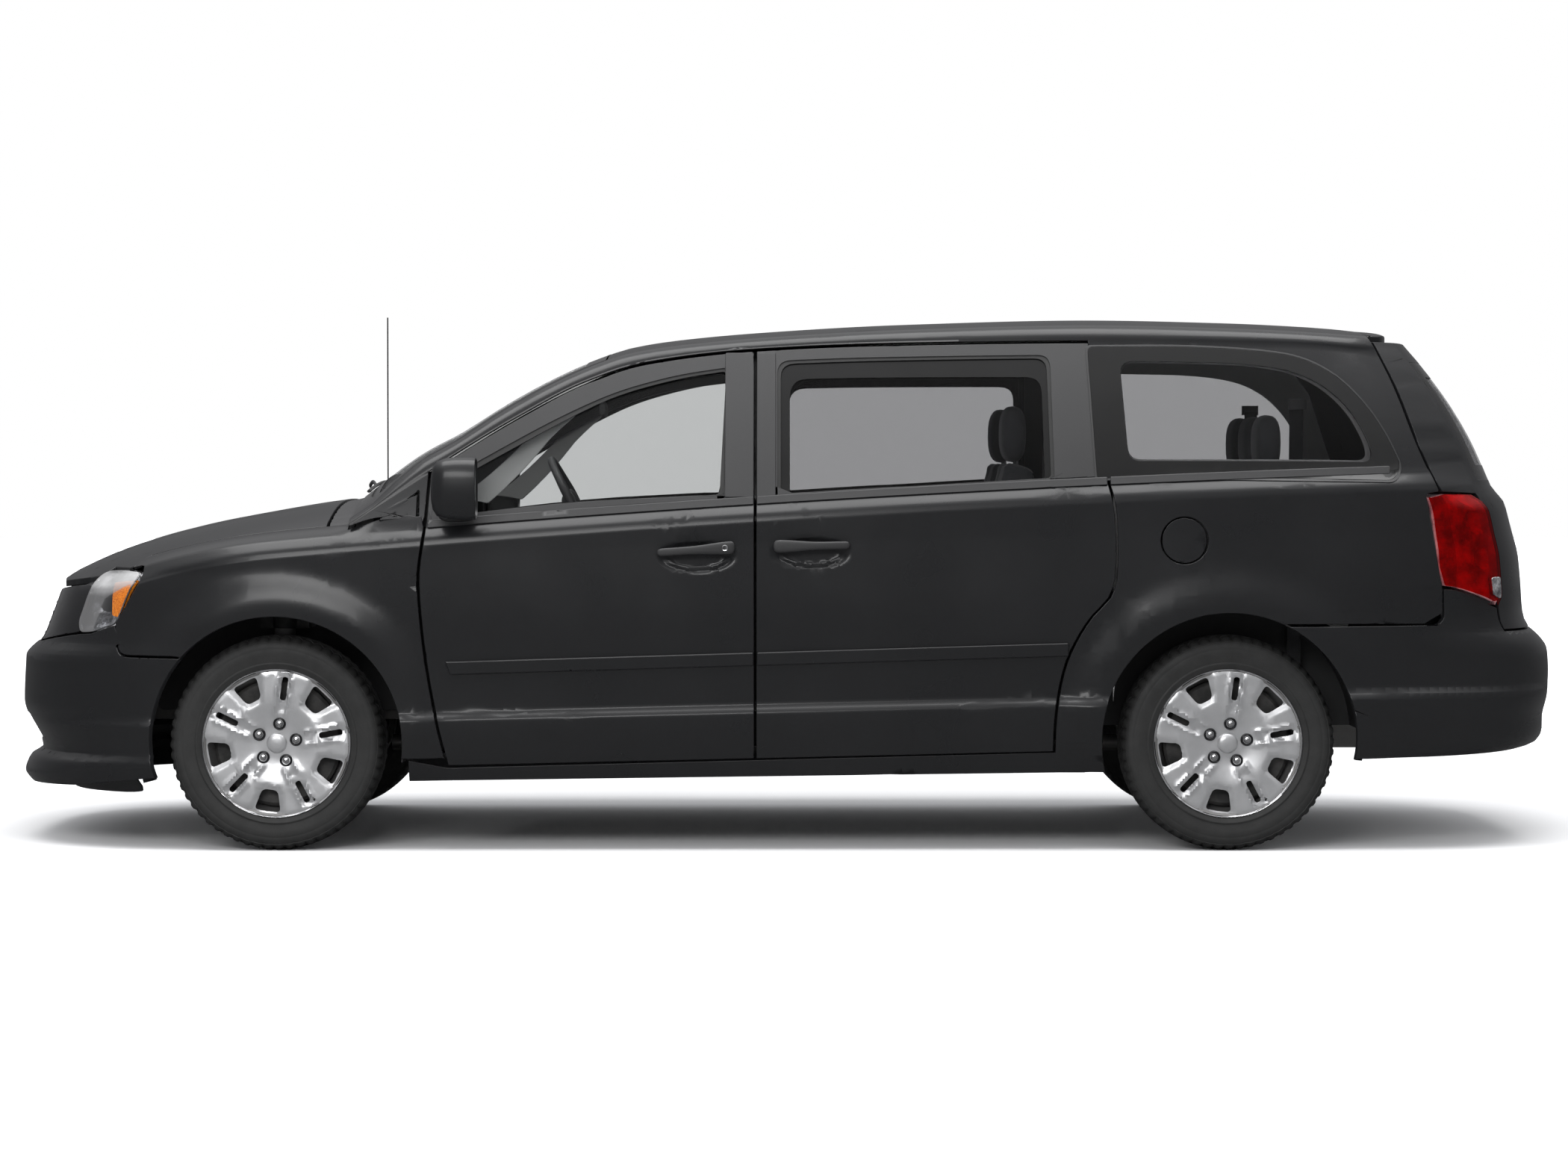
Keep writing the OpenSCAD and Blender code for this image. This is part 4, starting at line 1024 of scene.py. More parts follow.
for name, body, ends in (("front", "front_door_{}", (X_PILLAR - 98, X_PILLAR - GAP - 1)),
                         ("sliding", "root", (X_PILLAR + GAP + 1, X_PILLAR + 66))):
    base, top = belt(X_PILLAR) + 24, up(0.795)
    side_panels(f"{name}_pillar_strip", body, "black_plastic", TRIM,
                rounded([(ends[0], base), (ends[1], base), (ends[1], top), (ends[0], top)], 5, 2), (),
                (-5, 1), 60, (), 2, low_rows=FEW_ROWS)

# %% Strips along the belt and on the doors


def strip(name, body, material, x0, x1, low, high, depths, bevel=3, slot="black_plastic", slant=0):
    """A strip along the side between two height functions. Its front end may slant."""
    xs = steps(x0, x1, max(4, round((x1 - x0) / 60)))
    outline = [(xs[0] + slant, low(xs[0]))] + [(x, low(x)) for x in xs[1:]]
    outline += [(x, high(x)) for x in reversed(xs)]
    return side_panels(name, body, slot, material, outline, (), depths, 45, (), bevel,
                       low_rows=SIDE_ROWS[::2])


def belt_low(x):
    return belt(x) + 1


def belt_high(x):
    return belt(x) + 27


strip("front_belt_strip", "front_door_{}", TRIM, X_DOOR + 10, X_PILLAR - GAP - 1, belt_low, belt_high,
      (-6, 3))
strip("sliding_belt_strip", "root", TRIM, X_PILLAR + GAP + 1, slide_edge(1190) - GAP - 1, belt_low, belt_high,
      (-6, 3))
strip("quarter_belt_strip", "root", TRIM, slide_edge(1190) + GAP + 1, RA + 520, belt_low, belt_high, (-6, 3))


def moulding_low(x):
    return 602 + 0.030 * (x + 90)


def moulding_high(x):
    return 645 + 0.030 * (x + 90)


strip("front_moulding", "front_door_{}", PAINT, X_DOOR + 66, X_PILLAR - GAP - 1, moulding_low, moulding_high,
      (-9, 2), 5, "paint", 18)
strip("sliding_moulding", "root", PAINT, X_PILLAR + GAP + 1, slide_edge(640) - GAP - 1, moulding_low,
      moulding_high, (-9, 2), 5, "paint")

# %% [markdown]
# ### Door handles
# A handle is a bar lofted through rounded sections, thicker where it meets its fixed end. The same
# loft is used for every free-form bar on the van.

# %% Loft a closed form through rings


def loft(rings, closed_ends=True):
    """A skin through rings of points, closed at both ends."""
    bm = bmesh.new()
    loops = []
    for ring in rings:
        verts = [bm.verts.new(p) for p in ring]
        loops.append([bm.edges.new(pair) for pair in zip(verts, verts[1:] + verts[:1])])
    for a, b in zip(loops, loops[1:]):
        bmesh.ops.bridge_loops(bm, edges=a + b)
    if closed_ends:
        bmesh.ops.holes_fill(bm, edges=loops[0] + loops[-1], sides=0)
    return bm


def oval(centre, half_a, half_b, across=(0, 1, 0), up_axis=(0, 0, 1), power=2.0, n=24):
    """A ring of points round a centre. A power over 2 makes it squarer."""
    points = []
    for i in range(n):
        turn = 2 * math.pi * i / n
        a = math.copysign(abs(math.cos(turn)) ** (2 / power), math.cos(turn))
        b = math.copysign(abs(math.sin(turn)) ** (2 / power), math.sin(turn))
        points.append(Vector(centre) + Vector(across) * half_a * a + Vector(up_axis) * half_b * b)
    return points


# %% Make the handles


def handle(name, body, x0, z0, x1, z1, fixed_end):
    """A pull bar in front of its scoop, thicker towards its fixed end."""
    for hand, sign in LEFT_RIGHT:
        rings = []
        for s in [0, 0.012, 0.04, 0.1, 0.25, 0.4, 0.55, 0.7, 0.85, 0.93, 0.975, 1]:
            x, z = x0 + (x1 - x0) * s, z0 + (z1 - z0) * s
            near = abs(s - fixed_end)
            tall = (13 + 8 * smooth(1.25 - 2.2 * near)) * (1 - 0.6 * smooth(abs(s - 0.5) * 40 - 19))
            bow = 7 * math.sin(math.pi * clamp(s, 0.02, 0.98))
            rings.append(oval((x, -side(x, z) - 11 - bow, z), 8 - 3 * smooth(abs(s - 0.5) * 40 - 19), tall,
                              power=3.2, n=20))
        bm = loft(rings)
        for s in (0.03, 0.97):
            x, z = x0 + (x1 - x0) * s, z0 + (z1 - z0) * s
            foot = loft([oval((x, -side(x, z) - 12, z), 9, 9, (1, 0, 0)),
                         oval((x, -side(x, z) + 16, z), 8, 8, (1, 0, 0))])
            data = bpy.data.meshes.new("foot")
            foot.to_mesh(data)
            bm.from_mesh(data)
            bpy.data.meshes.remove(data)
            foot.free()
        if sign < 0:
            mirrored(bm)
        bar = attach(finish_mesh(bm, f"{name}_{hand}", TRIM, 0), body.format(hand), "black_plastic")
        bar.modifiers.new("round", "SUBSURF").render_levels = 1
        bar.modifiers["round"].levels = 1


handle("front_handle", "front_door_{}", -408, 966, -158, 983, 1)
handle("sliding_handle", "root", -34, 986, 212, 990, 0)

for hand, sign in LEFT_RIGHT:
    x, z = -190, 981
    y = -side(x, z) - 21
    rings = [oval((x, y + 4, z), 10, 10, (1, 0, 0)), oval((x, y - 1, z), 10, 10, (1, 0, 0)),
             oval((x, y - 1.6, z), 8.5, 8.5, (1, 0, 0)), oval((x, y - 0.4, z), 7, 7, (1, 0, 0))]
    bm = loft(rings)
    if sign < 0:
        mirrored(bm)
    attach(finish_mesh(bm, f"lock_{hand}", CHROME, 0), f"front_door_{hand}", "wheel_cover")

# %% [markdown]
# ## Nose and tail
# Each end is a smooth curve in plan from one side of the van to the other. A blank for it has the turn
# round that curve across and the height up, so bumper, lamps, grille and tailgate all share it.

# %% Places on the nose and the tail


def on_nose(turn, z, depth):
    """Place on the nose. A turn of -90 faces left and 0 straight ahead."""
    c, s = math.cos(math.radians(turn)), abs(math.sin(math.radians(turn)))
    x = X_NOSE_CURVE - (X_NOSE_CURVE - nose_line(z) - depth) * c ** (2 / NOSE_POWER)
    lip = 15 * math.exp(-((z - 272) / 30) ** 2) * smooth((abs(turn) - 30) / 30)
    half = (HALF + skin_offset(max(x, FA - 560), z) + lip - depth) * s ** (2 / NOSE_POWER) + flare(x, z)
    return Vector((x, math.copysign(half, turn), z))


def on_tail(turn, z, depth):
    """Place on the tail. A turn of -90 faces left and 0 straight back."""
    c, s = math.cos(math.radians(turn)), abs(math.sin(math.radians(turn)))
    x = X_TAIL_CURVE + (tail_line(z) - X_TAIL_CURVE - depth) * c ** (2 / TAIL_POWER)
    half = (HALF + skin_offset(min(x, RA + 700), z) - depth) * s ** (2 / TAIL_POWER) + flare(x, z)
    return Vector((x, math.copysign(half, turn), z))


def nose_turn(x, z):
    """Turn of the place on the nose that lies at x."""
    share = clamp((X_NOSE_CURVE - x) / (X_NOSE_CURVE - nose_line(z)))
    return math.degrees(math.acos(share ** (NOSE_POWER / 2)))


def tail_turn(x, z):
    share = clamp((x - X_TAIL_CURVE) / (tail_line(z) - X_TAIL_CURVE))
    return math.degrees(math.acos(share ** (TAIL_POWER / 2)))


def turn_of_y(y, power):
    return math.degrees(math.asin(clamp((abs(y) / (HALF - 20)) ** (power / 2))))


def both_turns(half_outline):
    """A whole outline from its right half, which is listed from the bottom to the top."""
    return half_outline + [(-turn, z) for turn, z in reversed(half_outline)]


def end_panel(name, body, slot, material, outline, holes, depths, place, zs, turns, nodes=(), bevel=2.5):
    bm = press(blank(outline, holes, turns, zs, 0.05), place, *depths)
    return attach(finish_mesh(bm, name, material, bevel), body, slot, *nodes)


TURNS = sorted([t * sign for t in [*steps(4, 60, 14), *steps(63, 87, 12)] for sign in (-1, 1)] + [0])
NOSE_ROWS = [200, 208, 217, 228, 240, 254, 267, 280, 292, 305, 318, 331, 350, 366, 383, 400, 417, 434, 447,
             460, 492, 525, 558, 590, 602, 615, 628, 641, 653, 666, 680, 695]

# %% Front bumper
lamp_low = [(nose_turn(x, z), z) for x, z in [(FA - 536, 727), (-2262, 698), (-2306, 695)]]
front_arch = [(nose_turn(x, z), z) for x, z in arc(FA, WHEEL_Z, ARCH_R, 180 + 16, 180 - 41.6, 26)]
seam = [(nose_turn(x, z), z)
        for x, z in rounded([(FA - 330, 623, 1), (FA - 513, 625, 30), (FA - 530, 668, 20)], 20)[4:]]
GRILLE_TURN = turn_of_y(447, NOSE_POWER)
front_half = [(nose_turn(-2270, 226), 208), *front_arch, *seam, *lamp_low, (GRILLE_TURN + 4, 664),
              (GRILLE_TURN, 658)]
half_low = [(0, 192), (20, 193), (44, 200)]
TOW_TURNS, TOW_LOW, TOW_HIGH = (4.6, 7.3), 437, 482
tow_window = rounded([(TOW_TURNS[0], TOW_LOW), (TOW_TURNS[1], TOW_LOW), (TOW_TURNS[1], TOW_HIGH),
                      (TOW_TURNS[0], TOW_HIGH)], 1, 2)
intake = rounded([(-21, 334), (21, 334), (20, 424), (-20, 424)], 6)
end_panel("front_bumper_skin", "root", "paint", PAINT, both_turns(half_low[1:] + front_half),
          [intake, tow_window], (0, 18), on_nose, NOSE_ROWS, TURNS, ["front_bumper"])
dam = rounded([(-54, 170, 8), (54, 170, 8), (54, 262), (-54, 262)], 3)
end_panel("air_dam", "root", "black_plastic", TRIM, dam, [], (132, 142), on_nose, steps(170, 262, 4), TURNS,
          (), 3)
end_panel("intake_back", "root", "black_plastic", TRIM,
          rounded([(-24, 322), (24, 322), (23, 436), (-23, 436)], 2, 2), [], (34, 42), on_nose,
          steps(326, 432, 4), TURNS, (), 1)
for i, z in enumerate((350, 372, 394, 414)):
    bar = [oval(on_nose(turn, z, 24), 9, 4, (1, 0, 0), power=2.6, n=12) for turn in steps(-21, 21, 24)]
    attach(finish_mesh(loft(bar), f"intake_slat_{i}", TRIM), "root", "black_plastic")

# %% Grille and the black panel behind the lamps
backing = both_turns([(GRILLE_TURN, 640), (nose_turn(-2300, 690), 672), (nose_turn(-2120, 730), 728),
                      (nose_turn(FA - 450, 890), 890), (nose_turn(-2170, 902), 902),
                      (nose_turn(-2250, 880), 880), (GRILLE_TURN + 6, 842), (GRILLE_TURN, 838)])
end_panel("lamp_backing", "root", "black_plastic", TRIM, backing, [], (44, 60), on_nose, steps(680, 880, 8),
          TURNS)
for sign in (-1, 1):
    inner = [(GRILLE_TURN + 0.4, 665), (nose_turn(-2306, 700) - 0.4, 702), (nose_turn(-2263, 867) - 0.6, 858),
             (GRILLE_TURN + 9, 846), (GRILLE_TURN + 0.4, 836)]
    outline = rounded([(turn * sign, z) for turn, z in inner], 4, 3)
    end_panel("lamp_bezel_" + ("left" if sign < 0 else "right"), "root", "black_plastic", GLOSS_BLACK,
              outline, [], (5, 16), on_nose, steps(670, 850, 8), TURNS)
for i, z in enumerate([686, 720, 754, 788]):
    rings = [oval(on_nose(turn, z, 16), 13, 7.5, (1, 0, 0), power=2.6, n=16)
             for turn in steps(-GRILLE_TURN + 0.4, GRILLE_TURN - 0.4, 16)]
    attach(finish_mesh(loft(rings), f"grille_slat_{i}", GLOSS_BLACK), "root", "black_plastic", "grille")
surround = rounded([(-GRILLE_TURN, 660), (GRILLE_TURN, 660), (GRILLE_TURN, 834), (-GRILLE_TURN, 834)], 6)
inside = rounded([(-GRILLE_TURN + 1.6, 672), (GRILLE_TURN - 1.6, 672), (GRILLE_TURN - 1.6, 818),
                  (-GRILLE_TURN + 1.6, 818)], 8)
end_panel("grille_frame", "root", "black_plastic", GLOSS_BLACK, surround, [inside], (4, 30), on_nose,
          steps(665, 830, 6), TURNS, (), 3)

# %% [markdown]
# ### Headlamps
# A lens over a bright reflector. The reflector has a round bowl, flutes along its foot and an amber
# turn signal in its rear third, all behind the same clear cover.

# %% Headlamps
LENS_SIDE = [(-2092, 899, 12), (-2168, 906, 30), (-2222, 901, 30), (-2264, 866, 30), (-2312, 736, 20),
             (-2304, 702, 14), (-2260, 704, 20), (-2176, 731, 14)]
AMBER = finish("amber lens", lambda place: {
    "Base_Color": place.cells(260).ramp(0.1, 0.7).mix((0.55, 0.10, 0.004), (0.95, 0.30, 0.02)),
    "Roughness": place.noise(40) * 0.1 + 0.12,
    "Normal": place.cells(260).bump(0.0008, 0.7)}, Specular_IOR_Level=0.6)
REFLECTOR = finish("lamp reflector", lambda place: {
    "Base_Color": place.noise(26, 4, 0.7).ramp(0.35, 0.7).mix((0.16, 0.16, 0.17), (0.88, 0.88, 0.9)),
    "Roughness": place.noise(40, 3) * 0.16 + 0.08,
    "Normal": place.noise(34, 3, 0.6).bump(0.004, 0.6)}, Metallic=0.9)


def flutes(turn, z):
    """Depth of the reflector: flutes at the foot, a bowl above them and a step at its inner edge."""
    share = clamp((735 - z) / 12)
    bowl = 26 * smooth((1.1 - math.hypot((abs(turn) - 46) / 6, (z - 800) / 46)) / 0.6)
    return 26 + share * (5 * math.sin(abs(turn) * 3.2) - 10) + bowl


for hand, sign in LEFT_RIGHT:
    lens = [(-sign * nose_turn(x, z), z) for x, z in rounded(LENS_SIDE, 14, 4)]
    zs = steps(700, 905, 20)
    fine = [-sign * t for t in steps(36, 76, 30)]
    end_panel(f"headlamp_lens_{hand}", "root", "headlamp", LENS, lens, [], (1, 4), on_nose, zs, fine,
              ["headlamps"], 0)
    cx = sum(t for t, z in lens) / len(lens)
    rim = [(cx + (t - cx) * 0.955, 803 + (z - 803) * 0.945) for t, z in lens]
    end_panel(f"headlamp_rim_{hand}", "root", "headlamp", CHROME, lens, [rim], (5, 9), on_nose, zs, fine, (),
              0.8)
    end_panel(f"headlamp_reflector_{hand}", "root", "headlamp", REFLECTOR, lens, [], (flutes, 62), on_nose,
              zs, fine, (), 0)
    signal = [(-sign * nose_turn(x, z), z) for x, z in rounded(
        [(-2196, 866, 8), (-2112, 874, 8), (-2176, 752, 8), (-2200, 758, 8)], 8, 3)]
    end_panel(f"headlamp_signal_{hand}", "root", "headlamp", AMBER, signal, [], (14, 24), on_nose,
              steps(750, 880, 10), fine, (), 2)

# %% [markdown]
# ### Rear bumper, tail lamps and tailgate

# %% Rear bumper
rear_arch = [(tail_turn(x, z), z) for x, z in arc(RA, WHEEL_Z + ARCH_LIFT, ARCH_R, -8.5, 63, 26)]
rear_seam = [(tail_turn(x, z), z) for x, z in rounded(
    [(RA + 240, 731, 1), (RA + 699, 731, 40), (RA + 697, 846, 2), (RA + 735, 845, 30), (2316, 800, 30)], 20,
    5)[6:]]
GATE_TURN = turn_of_y(786, TAIL_POWER)
rear_half = [(30, 312), *rear_arch, *rear_seam, (GATE_TURN + 0.5, 782), (GATE_TURN, 706)]
TAIL_ROWS = [310, 320, 331, 344, 357, 370, 389, 408, 434, 460, 486, 512, 540, 563, 583, 602, 621, 641, 654,
             667, 679, 692, 705, 718, 731, 744, 757, 775, 800, 830]
end_panel("rear_bumper_skin", "root", "paint", PAINT, both_turns(rear_half), [], (0, 18), on_tail, TAIL_ROWS,
          TURNS, ["rear_bumper"])

# %% Tail lamps
RED_LENS = pane("red lens", (0.80, 0.035, 0.06), 0.55)
RED_BODY = finish("lamp body", lambda place: {
    "Base_Color": (place.noise(16, 4, 0.6).ramp(0.3, 0.75) * 0.7 + place.cells(420) * 0.3).mix(
        (0.10, 0.02, 0.04), (0.85, 0.5, 0.5)),
    "Roughness": place.noise(30, 3) * 0.2 + 0.12,
    "Normal": place.cells(420).bump(0.0006, 0.6)}, Metallic=0.35)


def lamp_bulge(turn, z):
    return -20 * smooth((66 - abs(turn)) / 16) * smooth((1160 - z) / 60) * smooth((z - 770) / 60)


def bowls(turn, z):
    """Depth of the lamp body: two round bowls and a groove along its front third."""
    away = [math.hypot((abs(turn) - 51 - t) / 4.2, (z - cz) / 44) for t, cz in ((1, 1062), (0.2, 945))]
    ring = max(-6 * math.exp(-((r - 1) / 0.13) ** 2) + 18 * smooth((1 - r) / 0.5) for r in away)
    groove = 8 * math.exp(-((abs(turn) - 59.5 - (1150 - z) * 0.002) / 0.8) ** 2)
    return lamp_bulge(turn, z) + 12 + ring + groove


for hand, sign in LEFT_RIGHT:
    front = [(2082, 1150, 10), (2119, 920, 4), (2137, 858, 6), (2180, 853, 30), (2312, 800, 20)]
    edge = [(tail_turn(x, z), z) for x, z in rounded(front, 10, 4)]
    shape = edge + [(GATE_TURN + 0.5, 792), (GATE_TURN + 0.5, 1130), (GATE_TURN + 3, 1152), (60, 1153)]
    shape = [(-sign * t, z) for t, z in shape]
    zs, fine = steps(800, 1150, 28), [-sign * t for t in steps(GATE_TURN + 1, 70, 34)]
    end_panel(f"tail_lens_{hand}", "root", "tail_lamp", RED_LENS, shape, [],
              (lamp_bulge, lambda t, z: lamp_bulge(t, z) + 3), on_tail, zs, fine, ["tail_lamps"], 0)
    end_panel(f"tail_lamp_body_{hand}", "root", "tail_lamp", RED_BODY, shape, [], (bowls, 62), on_tail, zs,
              fine, (), 0)
    clear = rounded([(-sign * t, z) for t, z in [
        (GATE_TURN + 1, 812), (GATE_TURN + 5, 826), (GATE_TURN + 5.5, 884), (GATE_TURN + 1, 886)]], 6, 3)
    end_panel(f"reversing_lens_{hand}", "root", "tail_lamp", REFLECTOR, clear, [],
              (lambda t, z: lamp_bulge(t, z) - 2, 20), on_tail, steps(812, 886, 6), fine, (), 2)
print("nose and tail are made")

# %% [markdown]
# ## Wheels
# A steel wheel with a silver cover. The cover is pressed like a body panel, from a flat disc with five
# windows and five slots. Its relief is a depth over that disc: a dished hub, a channel for each
# slot and a slanted border round each window.

# %% Relief of the wheel cover
COVER_R = 240
SPOKES = [math.radians(82 - 72 * k) for k in range(5)]
FACE = 101


def turned(u, v, angle):
    """Along and across a direction, of a place on the wheel."""
    return u * math.cos(angle) + v * math.sin(angle), v * math.cos(angle) - u * math.sin(angle)


def window_share(u, v, angle):
    """1 on the edge of a window and less inside it."""
    r, t = turned(u, v, angle + math.radians(36))
    return max(abs(r - 187) / 35, abs(t) / (27 + 0.28 * (r - 160)))


def cover_relief(u, v):
    r = math.hypot(u, v)
    depth = 5 + 17 * smooth((150 - r) / 105) + 5 * smooth((r - 228) / 12)
    for angle in SPOKES:
        along, away = turned(u, v, angle)
        if along > 40:
            wide = 19 + 0.012 * along
            depth += 8 * smooth((wide - abs(away)) / 5) * smooth((along - 92) / 24) * smooth((231 - along) / 8)
            beside = smooth((wide + 9 - abs(away)) / 8) * (abs(away) > wide - 5)
            depth -= 6 * beside * smooth((along - 70) / 20) * smooth((226 - along) / 20)
        edge = window_share(u, v, angle)
        depth += 9 * smooth((1.42 - edge) / 0.36)
    return depth


def cover_hole(angle, corners, radius):
    c, s = math.cos(angle), math.sin(angle)
    return rounded([(r * c - t * s, r * s + t * c) for r, t in corners], radius, 4)


windows = [cover_hole(a + math.radians(36), [(152, -25), (222, -43), (222, 43), (152, 25)], 16)
           for a in SPOKES]
slots = [cover_hole(a, [(140, -9.5), (216, -9.5), (216, 9.5), (140, 9.5)], 9) for a in SPOKES]


def on_cover(u, v, depth):
    return Vector((u, depth - FACE, v))


cuts = steps(-237, 237, 58)
cover = press(blank(arc(0, 0, COVER_R, 0, 355, 71), [*windows, *slots], cuts, cuts), on_cover, cover_relief,
              lambda u, v: cover_relief(u, v) + 5)
print("wheel cover has", len(cover.faces), "faces")

# %% [markdown]
# ### Spun parts
# The tyre, barrel, brake disc and nuts are profiles spun round the axle. After the spin, the tyre's
# tread is cut into blocks by moving rows of its vertices inwards.

# %% Spin a profile round the axle


def spun(profile, n=96, closed=False):
    """Spins a profile of (radius, distance outwards) round the wheel's axle."""
    bm = bmesh.new()
    verts = [bm.verts.new((r, -y, 0)) for r, y in profile]
    pairs = list(zip(verts, verts[1:])) + ([(verts[-1], verts[0])] if closed else [])
    edges = [bm.edges.new(pair) for pair in pairs]
    bmesh.ops.spin(bm, geom=verts + edges, axis=(0, 1, 0), cent=(0, 0, 0), angle=2 * math.pi, steps=n,
                   use_merge=True)
    bmesh.ops.remove_doubles(bm, verts=bm.verts[:], dist=0.01)
    return bm


def moved(bm, x=0, y=0, z=0):
    bmesh.ops.translate(bm, verts=bm.verts[:], vec=(x, y, z))
    return bm


def merged(bm, *others):
    """Adds other meshes to one."""
    for other in others:
        data = bpy.data.meshes.new("part")
        other.to_mesh(data)
        other.free()
        bm.from_mesh(data)
        bpy.data.meshes.remove(data)
    return bm


# %% Tyre
SIDEWALL = [(238, 84), (240, 96), (246, 101), (252, 101.5), (256, 105), (259, 105.2), (263, 102.5),
            (270, 103.5), (284, 106), (298, 107.4), (304, 106.2), (306, 105.8), (309, 106.6), (318, 104),
            (324, 102.5), (327, 100.2), (329, 101), (334, 97), (339, 91), (343, 84), (345.4, 76), (346.6, 68)]
TREAD = [(347, 60), (347.4, 52), (340, 50), (340, 43), (347.6, 41), (348, 30), (348, 20), (340, 18),
         (340, 11), (348, 9), (348, 0)]
half_profile = SIDEWALL + TREAD
profile = half_profile + [(r, -y) for r, y in reversed(half_profile[:-1])] + [(237, -70), (237, 70)]
PITCHES, CELLS = 60, 3
tyre = spun(profile, PITCHES * CELLS, True)


def cut_tread(v):
    """Moves a vertex of the tread inwards where a groove crosses it."""
    r = math.hypot(v.co.x, v.co.z)
    angle = math.atan2(v.co.z, v.co.x) / (2 * math.pi) * PITCHES * CELLS
    side_shift = (round(angle) + (v.co.y < 0)) % CELLS
    if r > 323 and abs(v.co.y) > 36 and side_shift == 0:
        deep = 7 if r > 338 else 3 * (r - 323) / 15
        v.co.x *= (r - deep) / r
        v.co.z *= (r - deep) / r
        v.co.y *= 1 - 0.02 * (r < 345)


for v in tyre.verts:
    cut_tread(v)
print("tyre has", len(tyre.faces), "faces")

RUBBER_TYRE = finish("tyre rubber", lambda place: {
    "Base_Color": (place.noise(22, 4, 0.6) * 0.7 + place.cells(900) * 0.3).mix(
        (0.006, 0.006, 0.006), (0.021, 0.021, 0.0205)),
    "Roughness": place.noise(30, 4) * 0.25 + 0.5,
    "Normal": place.noise(420, 3).bump(0.0004, 0.5)}, Specular_IOR_Level=0.35)

# %% Barrel, brakes and nuts
barrel = spun([(236, 96), (228, 90), (222, 40), (206, 20), (206, -60), (226, -84), (234, -96), (238, -94),
               (231, -82), (211, -58), (211, 18), (227, 38), (233, 88), (239, 95)], 64, True)
disc = spun([(44, 34), (70, 34), (72, 22), (152, 22), (153, 20), (153, 2), (152, 0), (44, 0)], 72, True)
shield = spun([(40, -20), (160, -24), (200, -34), (204, -30), (204, -27), (160, -19), (40, -14)], 48, True)
hub = spun([(0.4, 62), (44, 62), (78, 58), (150, 44), (196, 52), (206, 44), (200, 40), (150, 34), (78, 46),
            (0.4, 46)], 72, True)
rim_ring = spun([(236, 92), (240.5, 95), (242, 99), (240, 101), (236.5, 97.5), (234, 93)], 96, True)
cap = spun([(0.3, 92), (14, 91.5), (26, 89), (31, 85), (33, 80), (33, 74), (0.3, 74)], 48, True)
nuts, cups = bmesh.new(), bmesh.new()
for angle in SPOKES:
    x, z = 63.5 * math.cos(angle), 63.5 * math.sin(angle)
    merged(nuts, moved(spun([(0.3, 93), (5, 92.4), (9, 90), (10.6, 86), (10.6, 70), (0.3, 70)], 6 * 3, True),
                       x, 0, z))
    merged(cups, moved(spun([(13, 68), (13.4, 84), (18, 87), (19.5, 86), (21, 82), (21, 68)], 24, True), x, 0,
                       z))

# %% Put the wheels on the van


def on_wheels(source, name, material, slot, replaced=None, body="wheel_{}", bevel=0, subdivide=False):
    """Copies a wheel-centred mesh to the four wheels."""
    for end, x in (("front", FA), ("rear", RA)):
        for hand, sign in LEFT_RIGHT:
            bm = moved(source.copy(), x, -WHEEL_Y, WHEEL_Z)
            if sign < 0:
                mirrored(bm)
            where = f"{end}_{hand}"
            piece = attach(finish_mesh(bm, f"{name}_{where}", material, bevel), body.format(where), slot)
            if replaced:
                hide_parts(f"{replaced}_{where}")
    source.free()


on_wheels(tyre, "tyre_skin", RUBBER_TYRE, "tyre", "tyre")
on_wheels(cover, "wheel_cover", SILVER, "wheel_cover", "wheel", bevel=1.2)
on_wheels(barrel, "wheel_barrel", CAST, "cast_metal")
on_wheels(disc, "brake_disc", STEEL, "cast_metal")
on_wheels(shield, "brake_shield", UNDERBODY, "underbody")
on_wheels(hub, "wheel_disc", UNDERBODY, "underbody")
on_wheels(rim_ring, "cover_edge", CHROME, "wheel_cover")
on_wheels(cap, "centre_cap", SILVER, "wheel_cover")
on_wheels(nuts, "lug_nuts", CHROME, "wheel_cover")
on_wheels(cups, "nut_cups", GLOSS_BLACK, "black_plastic")

# %% [markdown]
# ## Tailgate
# The tailgate is pressed like the bumper, in turns round the tail and heights. Its blank is cut at
# even steps across the van, because equal turns would leave its middle too coarse for the plate recess.

# %% Tailgate skin and glass
GATE_LOW, GATE_TOP = 712, 1650


def gate_turn(y, z):
    """Turn of the place on the tail that lies y from the middle."""
    width = HALF + skin_offset(RA + 700, z)
    return math.degrees(math.asin(clamp(abs(y) / width) ** (TAIL_POWER / 2)))


def across_gate(ys, z=1000):
    return sorted({sign * gate_turn(y, z) for y in ys for sign in (-1, 1)})


def gate_box(y, low, high, corner=0.6):
    """A rounded outline on the tailgate, y wide each way."""
    turn = gate_turn(y, (low + high) / 2)
    return rounded([(-turn, low), (turn, low), (turn, high), (-turn, high)], corner, 3)


def gate_window(inset=0):
    half = [(gate_turn(732 - inset - (z - 1200) * 0.2, z), z) for z in steps(1200 + inset, 1585 - inset, 6)]
    return both_turns(half)


GATE_CUTS = across_gate(steps(15, 800, 26))
PLATE = (168, 846, 1006)


def gate_relief(turn, z):
    """Depth of the skin: a recess for the plate and a crease under the glass."""
    y = abs(on_tail(turn, z, 0).y)
    recess = smooth((PLATE[0] + 10 - y) / 12) * smooth((z - PLATE[1] + 8) / 12) * smooth((PLATE[2] + 8 - z) / 12)
    return 14 * recess - 6 * math.exp(-((z - 1130) / 26) ** 2) * smooth((700 - y) / 120)


